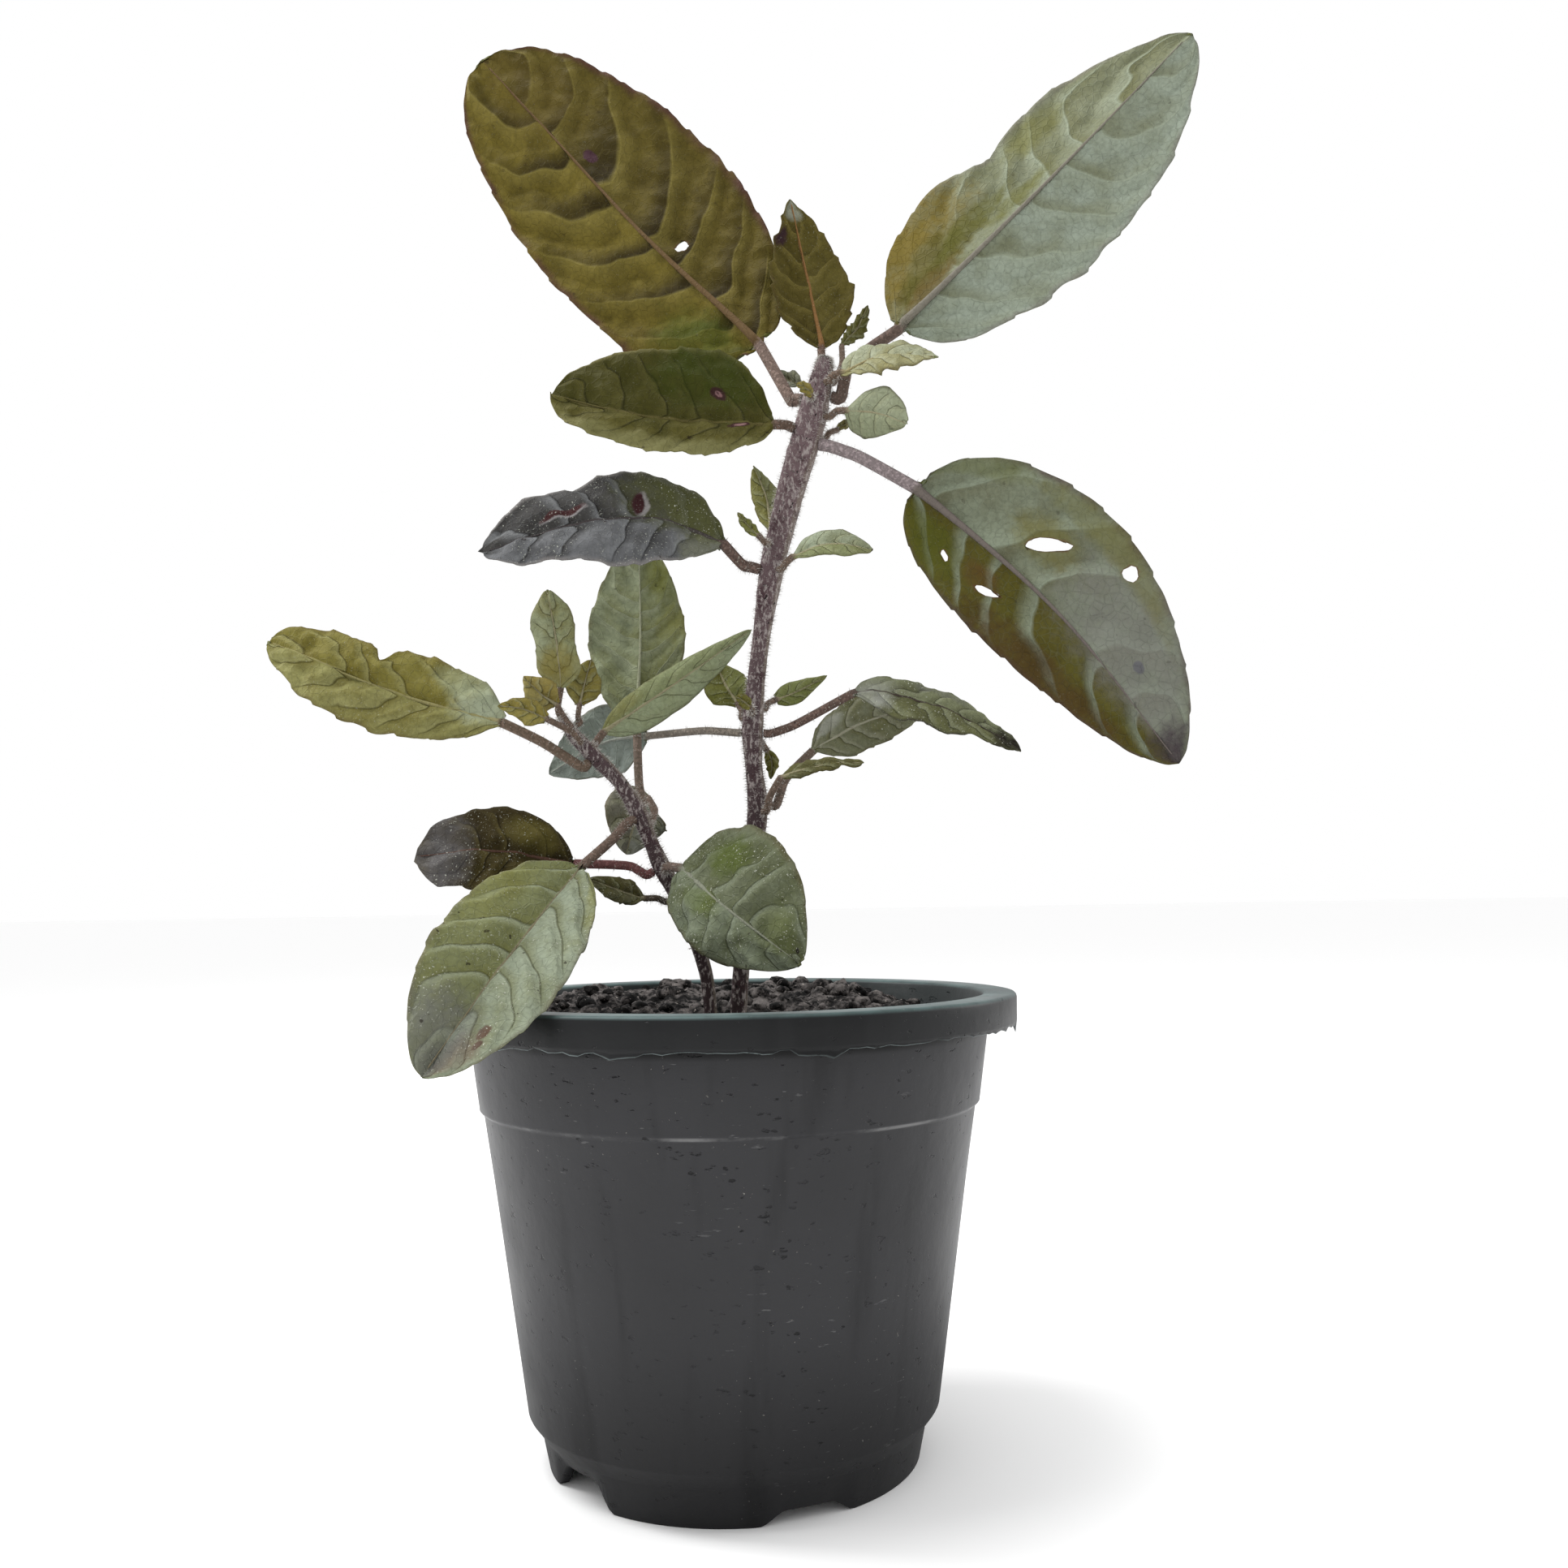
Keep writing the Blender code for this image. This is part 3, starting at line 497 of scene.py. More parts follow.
for number in range(CRUMBS):
    x, y = scatter(2 * MM)
    size = draw.uniform(0.3, 1.0) ** 2 * CRUMB_RADIUS
    cuts = 1 if size < PLAIN_CRUMB_RADIUS else 2
    crumb = bmesh.ops.create_icosphere(loose_bm, subdivisions=cuts, radius=size)["verts"]
    seed = Vector((number * 3.1, number * 1.7, 0))
    for corner in crumb:
        corner.co *= 1 + 0.5 * noise.noise(corner.co / size * 1.1 + seed)
        corner.co.z *= 0.7
        corner.co += Vector((x, y, mix_height(x, y) + 0.2 * size))
for fibre in range(FIBRES):
    x, y = scatter(6 * MM)
    length = draw.uniform(3, 9) * MM
    lie = (
        Matrix.Translation((x, y, mix_height(x, y) + 0.5 * MM))
        @ Matrix.Rotation(draw.uniform(0, math.tau), 4, "Z")
        @ Matrix.Rotation(math.pi / 2 + draw.uniform(-0.3, 0.3), 4, "X")
    )
    bmesh.ops.create_cone(
        loose_bm, cap_ends=True, segments=5, radius1=0.22 * MM, radius2=0.1 * MM, depth=length, matrix=lie
    )
join(mix_bm, loose_bm)

mix_finish, tree, shader, where = new_finish("peat_and_bark_mix", 0.95, 0.15)
lump = grain(where, 260, 8, 0.65)
fleck = grain(where, 900, 4, 0.6)
colour = blend(between(lump, 0.42, 0.66), tint(16, 15, 15), tint(104, 99, 97))
colour = coat(colour, between(fleck, 0.62, 0.72), (134, 127, 122))
colour = coat(colour, between(fleck, 0.42, 0.34), (9, 8, 8))
paint(shader, colour)
relief(shader, plus(lump, times(fleck, 0.5)), 0.6 * MM)
add_piece("potting_mix_fill", mix_bm, [mix_finish], "potting_mix", "potting_mix")

# ---------------------------------------------------------------- stems
# Two stems turning woody, square in section with rounded corners and covered in short pale hairs.
# Each is planted in the mix. Their lines, and their swellings at the nodes, come from the CAD stems.

STEM_RING_SIDES = 8
STEM_SIDES = 20
STEM_STEP = 0.8 * MM
HAIR_RADIUS = 0.05 * MM
HAIRS_AT_ONCE = 100


def matched(before, ring):
    """A ring's corners in the order that joins them edge by edge to the ring before."""
    ways = []
    for walked in (ring, ring[::-1]):
        for start in range(len(ring)):
            way = walked[start:] + walked[:start]
            pairs = list(zip(before, way))
            apart = sum((a.co - b.co).length_squared for a, b in pairs)
            unjoined = sum(all(edge.other_vert(a) is not b for edge in a.link_edges) for a, b in pairs)
            ways.append((unjoined, apart, way))
    return min(ways, key=lambda item: item[:2])[2]


def cad_rings(node, sides):
    """A lofted CAD node's two end points and, between them, its rings with their points in order."""
    bm = bmesh.new()
    bm.from_mesh(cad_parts[node].data)
    bmesh.ops.remove_doubles(bm, verts=bm.verts, dist=1e-6)
    poles = [v for v in bm.verts if len(v.link_edges) == sides]
    pairs = [(a, b) for a in poles for b in poles if a is not b]
    start, end = max(pairs, key=lambda pair: (pair[0].co - pair[1].co).length)
    seen = {start}
    level = [start]
    rings = []
    while True:
        level = {edge.other_vert(v) for v in level for edge in v.link_edges} - seen
        seen |= level
        if len(level) < 2:
            break
        ring = [min(level, key=lambda v: v.index)]
        while len(ring) < len(level):
            beside = [edge.other_vert(ring[-1]) for edge in ring[-1].link_edges]
            ring.append(next(v for v in beside if v in level and v not in ring))
        rings.append(matched(rings[-1], ring) if rings else ring)
    points = [[v.co.copy() for v in ring] for ring in rings]
    ends = start.co.copy(), end.co.copy()
    bm.free()
    return ends[0], points, ends[1]


def smooth_at(points, place):
    """A smooth curve through a list of points; place runs from 0 to the last one's index."""
    last = len(points) - 1
    start = min(max(int(place), 0), last - 1)
    t = place - start
    p1, p2 = points[start], points[start + 1]
    p0 = points[start - 1] if start else p1 + (p1 - p2)
    p3 = points[start + 2] if start + 2 <= last else p2 + (p2 - p1)
    bend = 2 * p0 - 5 * p1 + 4 * p2 - p3
    twist = 3 * p1 - p0 - 3 * p2 + p3
    return 0.5 * (2 * p1 + (p2 - p0) * t + bend * t * t + twist * t**3)


def middle(points):
    return sum(points, Vector()) / len(points)


def add_tube(bm, rows, sides, skin):
    """A closed tube's corners, a grid wrapped round. skin gives the point at a row and an angle."""
    grown = bmesh.ops.create_grid(bm, x_segments=sides, y_segments=rows, size=1.0)["verts"]
    for corner in grown:
        row = round((corner.co.y + 1) / 2 * rows)
        side = round((corner.co.x + 1) / 2 * sides) % sides
        corner.co = skin(row, math.tau * side / sides)
    bmesh.ops.remove_doubles(bm, verts=grown, dist=1e-8)
    skin_verts = [v for v in grown if v.is_valid]
    open_edges = {edge for v in skin_verts for edge in v.link_edges if edge.is_boundary}
    bmesh.ops.holes_fill(bm, edges=list(open_edges), sides=0)
    return skin_verts


def add_hairs(bm, draw, count, spot, length, lean=0.35):
    """Short hairs standing off a skin. spot gives a root point and its outward direction."""
    tuft = bmesh.new()
    for number in range(count):
        root, out = spot(draw)
        long = length * draw.uniform(0.45, 1.0)
        wander = Vector((draw.uniform(-1, 1), draw.uniform(-1, 1), draw.uniform(-1, 1)))
        out = (out + wander * lean).normalized()
        upright = out.to_track_quat("Z", "Y").to_matrix().to_4x4()
        stand = Matrix.Translation(root + out * long / 2) @ upright
        bmesh.ops.create_cone(
            tuft, cap_ends=True, segments=3, radius1=HAIR_RADIUS, radius2=0.2 * HAIR_RADIUS, depth=long,
            matrix=stand,
        )
        if (number + 1) % HAIRS_AT_ONCE == 0 or number == count - 1:
            for face in tuft.faces:
                face.material_index = 1
            join(bm, tuft)
            tuft = bmesh.new()


def stem_line(node):
    """The stem's centres and radii at its CAD rings and its tip, from the ground up."""
    start, rings, end = cad_rings(node, STEM_RING_SIDES)
    if start.z > end.z:
        start, end = end, start
        rings.reverse()
    centres = [middle(ring) for ring in rings]
    radii = [sum((p - c).length for p in ring) / len(ring) for ring, c in zip(rings, centres)]
    return centres + [end], radii + [0.5 * radii[-1]]


def make_stem(name, node, finish, hairs, seed):
    """One stem along its CAD node's line, with a number of hairs."""
    centres, radii = stem_line(node)
    length = sum((b - a).length for a, b in zip(centres, centres[1:]))
    rows = int(length / STEM_STEP)
    line = []
    for row in range(rows + 1):
        place = row / rows * (len(centres) - 1)
        at = smooth_at(centres, place)
        ahead = smooth_at(centres, min(place + 0.02, len(centres) - 1))
        back = smooth_at(centres, max(place - 0.02, 0))
        along = (ahead - back).normalized()
        side = Vector((0, 1, 0)).cross(along).normalized()
        line.append((at, side, along.cross(side), smooth_at(radii, place)))

    def skin(row, angle):
        at, side, front, radius = line[row]
        squared = 1 + 0.085 * math.cos(4 * angle + math.pi)
        grooved = 1 - 0.05 * max(math.cos(4 * angle), 0.0) ** 3
        lump = 1 + 0.06 * noise.noise(Vector((angle * 2.0, row * 0.35, seed)))
        reach = radius * squared * grooved * lump * 1.02
        return at + (side * math.cos(angle) + front * math.sin(angle)) * reach

    def spot(draw):
        """A place for a hair, above the stem's lowest fifth."""
        row = draw.randint(int(rows * 0.2), rows)
        angle = draw.uniform(0, math.tau)
        root = skin(row, angle)
        return root, (root - line[row][0]).normalized()

    bm = bmesh.new()
    add_tube(bm, rows, STEM_SIDES, skin)
    bmesh.ops.recalc_face_normals(bm, faces=bm.faces)
    add_hairs(bm, random.Random(seed), hairs, spot, 1.1 * MM)
    add_piece(name, bm, [finish, hair_finish], "stem_bark", node)


def stem_finish(name, low, high):
    """Bark brown and scurfy at the foot, purple and paler towards the tip, with dark scars and a painted
    highlight on the side that faces right.
    """
    made, tree, shader, where = new_finish(name, 0.75, 0.2)
    height = wire(tree, "SeparateXYZ", {0: where}, 2)
    rise = between(height, low, high)
    fine = grain(where, 1300, 4, 0.65, (1.0, 1.0, 0.45))
    patch = grain(where, 220, 5, 0.6)
    # The side that faces right is painted paler: a painted highlight.
    sides = wire(tree, "SeparateXYZ", {0: wire(tree, "NewGeometry", {}, 1)}, 0)
    colour = blend(rise, tint(54, 43, 44), tint(98, 82, 84))
    colour = coat(colour, between(sides, 0.3, 0.6, 0.0, 0.5), (112, 104, 92))
    colour = coat(colour, between(patch, 0.48, 0.66, 0.0, 0.8), (56, 38, 42))
    colour = coat(colour, between(fine, 0.5, 0.62, 0.0, 0.75), (152, 144, 141))
    colour = coat(colour, between(grain(where, 900, 3), 0.64, 0.7), (24, 18, 19))
    paint(shader, colour)
    relief(shader, plus(fine, patch), 0.35 * MM)
    return made


hair_finish, tree, shader, where = new_finish("pale_stem_hair", 0.6, 0.3)
paint(shader, blend(grain(where, 300), tint(170, 165, 158), tint(205, 202, 196)))
main_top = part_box("stem_main")[1].z
main_bark = stem_finish("main_stem_bark", rim_top, main_top)
side_bark = stem_finish("side_stem_bark", rim_top, main_top)
make_stem("main_stem", "stem_main", main_bark, 4200, 5)
make_stem("side_stem", "stem_side", side_bark, 1500, 6)

# ---------------------------------------------------------------- leaves
# Thin soft leaves, each one piece with its petiole. The petiole runs on as a raised midrib under the
# blade; side veins arch towards the toothed margin, and the blade swells up between them.

LEAF_RING_SIDES = 10
BLADE_CELL = 0.6 * MM
BLADE_THICKNESS = 0.3 * MM
PETIOLE_SIDES = 8
PETIOLE_STEPS = 4
WALK_STEPS = 60
HAIRS_PER_RING = 34
VEIN_RISE = 0.68
# A CAD leaf ring's corners, counted on from one margin: the upper side, the other margin, the keel.
UPPER, OTHER_MARGIN, KEEL = 2, 4, 7


def leaf_stations(node):
    """A leaf's line from root to tip, as its CAD rings give it.

    These are the middles, both margins and the upper side's directions, then the number of the ring
    where the petiole ends and the petiole's radius.
    """
    start, rings, end = cad_rings(node, LEAF_RING_SIDES)
    spread = [max((p - middle(ring)).length for p in ring) for ring in rings]
    if sum(spread[:3]) > sum(spread[-3:]):
        start, end = end, start
        rings.reverse()
    count = len(rings[0])

    def breadth(i):
        return sum((ring[i] - ring[(i + OTHER_MARGIN) % count]).length for ring in rings)

    first = max(range(count), key=breadth)
    stations = []
    for ring in rings:
        turned = ring[first:] + ring[:first]
        stations.append((turned[0], turned[OTHER_MARGIN], turned[UPPER], turned[KEEL]))
    centres = [(upper + keel) / 2 for a, b, upper, keel in stations] + [end]
    lefts = [a for a, b, upper, keel in stations]
    rights = [b for a, b, upper, keel in stations]
    ups = [(upper - keel).normalized() for a, b, upper, keel in stations]
    facing = 0.0
    for i, (a, b) in enumerate(zip(lefts, rights)):
        along = centres[i + 1] - centres[max(i - 1, 0)]
        facing += (a - b).dot(Vector((-along.z, 0, along.x)))
    if facing < 0:
        lefts, rights = rights, lefts
    widths = [(a - b).length for a, b in zip(lefts, rights)]
    base = max(i for i in range(widths.index(max(widths))) if widths[i] < 1.1 * widths[0])
    return centres, lefts + [end], rights + [end], ups + [ups[-1]], base, widths[0] / 2


def leaf_finish(name, look, under):
    """Leaf skin: a tint for each half, painted shade and highlight on the swollen shingles between side
    veins, a fine net, and marks.
    """
    made, tree, shader, where = new_finish(name, 0.7, 0.08)
    places = wire(tree, "UVMap", {}, uv_map="blade")
    split = tree.nodes.new("ShaderNodeSeparateXYZ")
    tree.links.new(places, split.inputs[0])
    share = split.outputs[0]
    across = calc("SUBTRACT", times(split.outputs[1], 2.0), 1.0)
    out = calc("ABSOLUTE", across)
    left = between(across, -0.03, 0.03)
    cloud = grain(where, 130, 6, 0.6)
    fine = grain(where, 1100, 4, 0.6)
    ragged = calc("SUBTRACT", grain(where, 420, 4, 0.6), 0.5)
    ragged = times(ragged, 1.6)
    phase = stored(tree, "vein_phase")
    fading = between(out, 1.0, 0.75)
    vein = times(between(calc("PINGPONG", phase, 0.5), 0.055, 0.0), fading)
    saw = calc("FRACT", phase)
    # Painted light on the shingles between side veins: one side of each vein is painted lit, the other
    # shaded.
    if under:
        highlit_shingle_side = between(saw, 0.62, 0.97)
        shaded_shingle_side = between(saw, 0.5, 0.06)
    else:
        highlit_shingle_side = between(saw, 0.4, 0.05)
        shaded_shingle_side = between(saw, 0.62, 0.97)
    rib = between(out, look["rib"], 0.3 * look["rib"])
    cells = {"Vector": where, "Scale": 520.0, "Randomness": 1.0}
    net = between(wire(tree, "TexVoronoi", cells, feature="DISTANCE_TO_EDGE"), 0.09, 0.0)
    rear = stored(tree, "rear")
    stalk = stored(tree, "stalk")
    chewed = stored(tree, "chewed")

    # Each half's tint is partly the leaf's own colour and partly painted light: a half turned to the sky is
    # painted paler, a half turned away darker.
    front = blend(left, tint(*look["right"]), tint(*look["left"]))
    front = coat(front, between(cloud, 0.4, 0.66, 0.0, look["mottle"]), look["patch"])
    # Painted shade in the hollows, in the mottle colour, strongest near the midrib.
    shaded = times(shaded_shingle_side, between(out, 0.95, 0.1, 0.25, 1.0))
    front = coat(front, shaded, look["patch"], look["shade"])
    # Painted highlight on the lit side of each vein, in the vein colour.
    vein_side_highlight = times(highlit_shingle_side, fading)
    front = coat(front, vein_side_highlight, look["vein"], look["vein_show"])
    colour = blend(rear, front, tint(*look["rear"]))
    colour = coat(colour, between(fine, 0.35, 0.7, 0.0, 0.2), (30, 30, 18))
    colour = coat(colour, net, look["vein"], 0.1)
    # Along each vein: on an underside the raised vein's paler colour; on an upper side a darkened crease,
    # which is painted shade.
    pale_vein_and_crease_shade = tint(*look["vein"]) if under else tint(*[0.6 * c for c in look["patch"]])
    colour = blend(times(vein, 0.55), colour, pale_vein_and_crease_shade)
    edge = times(between(out, 0.9, 1.0), look["edge_show"])
    edge = times(edge, between(cloud, 0.3, 0.6, 0.3, 1.0))
    colour = coat(colour, edge, look["edge"])
    for at, v, long, wide, mark, strength in look["marks"]:
        reach = calc("DIVIDE", calc("SUBTRACT", share, at), long)
        aside = calc("DIVIDE", calc("SUBTRACT", across, v), wide)
        far = plus(times(reach, reach), times(aside, aside))
        far = plus(far, ragged)
        small = long < 0.06 or wide < 0.12
        core = 0.6 if small else 0.05
        inside = between(far, 1.6 - 0.3 * core, core, 0.0, strength)
        inside = times(inside, between(rear, 1.0, 0.0))
        if not small:
            inside = times(inside, between(cloud, 0.34, 0.56, 0.7, 1.0))
        colour = coat(colour, inside, mark)
    colour = coat(colour, rib, look["ribs"], 0.85)
    scurf = between(grain(where, 1500, 4), 0.45, 0.7)
    bark = coat(tint(*look["stalk"]), scurf, [c * 1.35 for c in look["stalk"]])
    colour = blend(stalk, colour, bark)
    spots = times(between(grain(where, 520, 2), 0.7, 0.74), look["spots"])
    colour = coat(colour, spots, (34, 24, 24))
    dust = times(between(grain(where, 2400, 3), 0.62, 0.7), look["dust"])
    dust = times(dust, between(cloud, 0.42, 0.6, 0.15, 0.9))
    colour = coat(colour, dust, (182, 184, 172))
    colour = coat(colour, chewed, (92, 66, 50), 0.75)
    paint(shader, colour)
    rough = between(cloud, 0.3, 0.7, 0.62, 0.8)
    tree.links.new(rough, shader.inputs["Roughness"])
    ridges = plus(times(vein, 0.7), times(net, 0.45))
    relief(shader, plus(ridges, times(fine, 0.5)), 0.22 * MM)
    return made


def cut_hole(bm, home, at, scale, half, turn):
    """An insect hole through the blade: a turned oval, half long and wide, about a place on the blade.

    It returns the corners on its edge, whose places in home are moved out to a ragged oval. scale is
    the blade's length and half its width.
    """
    c, s = math.cos(turn), math.sin(turn)

    def oval(corner):
        """How far out in the oval a corner lies, 1 on its line, and in which direction."""
        along = (home[corner][0] - at[0]) * scale[0]
        out = (home[corner][1] - at[1]) * scale[1]
        x = (along * c + out * s) / half[0]
        y = (out * c - along * s) / half[1]
        return math.hypot(x, y), math.atan2(y, x)

    inside = {v for v in bm.verts if oval(v)[0] < 1.0}
    doomed = [f for f in bm.faces if all(v in inside for v in f.verts)]
    if not doomed:
        return []
    bmesh.ops.delete(bm, geom=doomed, context="FACES")
    edge = [v for v in bm.verts if v in inside]
    for corner in edge:
        angle = oval(corner)[1]
        rim = 1.0 + 0.1 * math.sin(3 * angle + at[0] * 40) + 0.05 * math.sin(7 * angle)
        x = half[0] * rim * math.cos(angle)
        y = half[1] * rim * math.sin(angle)
        home[corner] = (at[0] + (x * c - y * s) / scale[0], at[1] + (x * s + y * c) / scale[1])
    return edge


def drift(*place):
    """Smooth noise from about -1 to 1 at three numbers."""
    return noise.noise(Vector(place))


def make_leaf(node, slot, left, right, **look):
    """One leaf on its CAD node's line, with a tint for each half, and its own relief, holes and teeth."""
    look = {**PLAIN_LEAF, "left": left, "right": right, **look}
    seed = sum(map(ord, node))
    centres, lefts, rights, ups, base, stalk = leaf_stations(node)
    last = len(centres) - 1
    places = [base + (last - base) * i / WALK_STEPS for i in range(WALK_STEPS + 1)]
    walked = [0.0]
    for here, there in zip(places, places[1:]):
        walked.append(walked[-1] + (smooth_at(centres, there) - smooth_at(centres, here)).length)
    length = walked[-1]
    width = max((a - b).length for a, b in zip(lefts, rights))

    def place_of(share):
        """The station at a share of the blade's length."""
        want = share * length
        i = max(k for k in range(WALK_STEPS) if walked[k] <= want or k == 0)
        step = walked[i + 1] - walked[i]
        return places[i] + (places[i + 1] - places[i]) * min((want - walked[i]) / step, 1.0)

    under = ups[(base + last) // 2].y > 0
    seed_at = Vector((seed, 0.0, 0.0))

    def vein_phase(share, v):
        """How many side veins lie between the blade's base and this place; they are spaced unevenly."""
        side = math.copysign(1, v)
        uneven = 0.55 * drift(share * 3.5, side, seed) + 0.2 * drift(share * 9, 3 * v, seed)
        staggered = 0.35 if v > 0 else 0.0
        return (share - look["sweep"] * abs(v) ** 1.7) * look["veins"] + uneven + staggered

    def vein_swell(share, v):
        """0 on a side vein, rising to 1 towards the next one and falling steeply at it."""
        phase = vein_phase(share, v)
        saw = phase % 1.0 if under else -phase % 1.0
        return min(saw / VEIN_RISE, (1.0 - saw) / (1.0 - VEIN_RISE)) ** 1.4

    def margin(share, v):
        """What the teeth, ragged places and bites add to the reach of a margin, in mm."""
        passed = share * length / MM / look["tooth_gap"] + 0.6 * drift(share * 9, v, seed)
        teeth = look["teeth"] * ((passed % 1.0) ** 1.5 - 0.4)
        ragged = 0.5 * drift(share * length / MM / 6, v * 3, seed)
        shape = (teeth + ragged) * math.sin(math.pi * share) ** 0.5
        for at, side, deep, wide in look["bites"]:
            if side * v > 0:
                shape -= deep * math.exp(-(((share - at) / wide) ** 2))
        return shape

    rows = max(int(length / BLADE_CELL), 14)
    cells = max(int(width / BLADE_CELL), 10)
    cells += cells % 2
    bm = bmesh.new()
    uv = bm.loops.layers.uv.new("blade")
    rear = bm.verts.layers.float.new("rear")
    stem_part = bm.verts.layers.float.new("stalk")
    phase_layer = bm.verts.layers.float.new("vein_phase")
    chewed = bm.verts.layers.float.new("chewed")
    bmesh.ops.create_grid(bm, x_segments=cells, y_segments=rows, size=1.0)
    home = {}
    lines = {}

    def line_at(share):
        """What blade_point needs along one line across the blade."""
        place = place_of(share)
        centre = smooth_at(centres, place)
        left = smooth_at(lefts, place) - centre
        right = smooth_at(rights, place) - centre
        return share, centre, left, right, smooth_at(ups, place).normalized()

    def blade_point(line, v):
        """The blade's surface at a line, v running from -1 at its right margin to 1 at its left one."""
        share, centre, left, right, up = line
        reach = left * v if v > 0 else right * -v
        if reach.length > 1e-9:
            reach += reach.normalized() * margin(share, math.copysign(1, v)) * MM * abs(v) ** look["keep"]
        belly = math.sin(math.pi * min(max(share, 0.0), 1.0))
        swell = look["swell"] * vein_swell(share, v) * belly**0.5
        swell *= min(abs(v) * 4, 1.0) * (1 - 0.5 * abs(v) ** 4)
        wave = look["wave"] * math.sin(share * 17 + seed + 2 * v) * abs(v) ** 3 * belly
        arch = look["arch"] * (abs(v) - v * v) * 4 * belly
        crumple = look["crumple"] * noise.noise(centre / MM / 7 + reach / MM / 5 + seed_at)
        crumple += 0.45 * look["crumple"] * noise.noise((centre + reach) / MM / 2.4 + seed_at)
        return centre + reach + up * (swell + wave + arch + crumple) * MM

    for corner in bm.verts:
        v = corner.co.x
        row = round((corner.co.y + 1) / 2 * rows)
        if row not in lines:
            share = row / rows
            lines[row] = line_at(0.5 * share + 0.5 * (0.5 - 0.5 * math.cos(math.pi * share)))
        corner.co = blade_point(lines[row], v)
        home[corner] = (lines[row][0], v)
    for at, v, long, wide, turn in look["holes"]:
        half = (long * MM / 2, wide * MM / 2)
        for corner in cut_hole(bm, home, (at, v), (length, width / 2), half, turn):
            corner.co = blade_point(line_at(home[corner][0]), home[corner][1])
            corner[chewed] = 1.0
    for corner in bm.verts:
        corner[phase_layer] = vein_phase(*home[corner])
    for face in bm.faces:
        for loop in face.loops:
            share, v = home[loop.vert]
            loop[uv].uv = (share, (v + 1) / 2)
    bm.normal_update()
    if sum(face.normal.y * face.calc_area() for face in bm.faces) > 0:
        bmesh.ops.reverse_faces(bm, faces=bm.faces)
    bm.normal_update()
    inward = {tuple(corner.co): -corner.normal for corner in bm.verts}
    grown = bmesh.ops.extrude_face_region(bm, geom=list(bm.faces), use_keep_orig=True)["geom"]
    for corner in (item for item in grown if isinstance(item, bmesh.types.BMVert)):
        corner.co += inward[tuple(corner.co)] * BLADE_THICKNESS
        corner[rear] = 1.0

    petiole_steps = base * PETIOLE_STEPS
    steps = petiole_steps + rows // 2
    line = []
    for step in range(steps + 1):
        if step <= petiole_steps:
            place = step / PETIOLE_STEPS
        else:
            place = place_of((step - petiole_steps) / (rows // 2) * 0.97)
        taper = min(max((place - base) / (last - base), 0.0), 1.0)
        up = smooth_at(ups, place).normalized()
        radius = stalk * (1 - taper) ** 2.4 + 0.12 * MM
        ahead = smooth_at(centres, min(place + 0.05, last))
        along = (ahead - smooth_at(centres, max(place - 0.05, 0))).normalized()
        sunk = 0.0 if place < base else 0.75 * radius * min(taper * 8, 1.0)
        side = along.cross(up).normalized()
        line.append((smooth_at(centres, place) - up * sunk, side, up, radius, taper))

    def skin(row, angle):
        at, side, up, radius, taper = line[row]
        return at + (side * math.cos(angle) + up * math.sin(angle)) * radius

    tube = add_tube(bm, steps, PETIOLE_SIDES, skin)
    for corner in tube:
        nearest = min(line, key=lambda item: (item[0] - corner.co).length)
        corner[stem_part] = max(1.0 - 12.0 * nearest[4], 0.0) * look["stalk_show"]
        for loop in corner.link_loops:
            loop[uv].uv = (nearest[4], 0.5)
    bmesh.ops.recalc_face_normals(bm, faces=bm.faces)

    def spot(draw):
        """A place for a hair on the petiole."""
        row = draw.randint(1, max(petiole_steps, 2))
        angle = draw.uniform(0, math.tau)
        root = skin(row, angle)
        return root, (root - line[row][0]).normalized()

    add_hairs(bm, random.Random(seed), base * HAIRS_PER_RING, spot, 0.9 * MM)
    add_piece(node + "_blade", bm, [leaf_finish(node + "_skin", look, under), hair_finish], slot, node)


def both(at, deep, wide):
    """The same bite on both margins."""
    return [(at, 1, deep, wide), (at, -1, deep, wide)]


# What a leaf looks like where it isn't told otherwise. Places run from 0 at the blade's base to 1 at
# its tip, and from -1 to 1 across it. Colours are display values; heights and teeth are in mm.
# bites: place along, margin, depth in mm (below 0 it broadens the blade), half its length.
# marks: place along, place across, half the length, half the width, colour, strength.
# holes: place along, place across, length and width in mm, turn. keep: how fast a margin's shape
# fades towards the midrib. rib: the midrib's painted width. sweep: how far side veins lean forward.
PLAIN_LEAF = dict(
    rear=(96, 100, 62),
    # The mottle colour, also used as the painted shade in the hollows beside the veins.
    patch=(84, 82, 44),
    mottle=0.5,
    # The veins' own colour, also used for the painted highlight beside each vein.
    vein=(140, 142, 112),
    # How strongly the painted highlight beside the veins shows.
    vein_show=0.4,
    # How dark the painted shade in the hollows is.
    shade=0.45,
    ribs=(138, 132, 106),
    rib=0.05,
    veins=6,
    sweep=0.2,
    edge=(84, 70, 50),
    edge_show=0.4,
    stalk=(84, 70, 64),
    stalk_show=0.9,
    spots=0.3,
    dust=0.3,
    swell=0.9,
    wave=0.5,
    arch=0.6,
    crumple=0.6,
    teeth=0.5,
    tooth_gap=5.0,
    keep=5,
    bites=(),
    marks=(),
    holes=(),
)

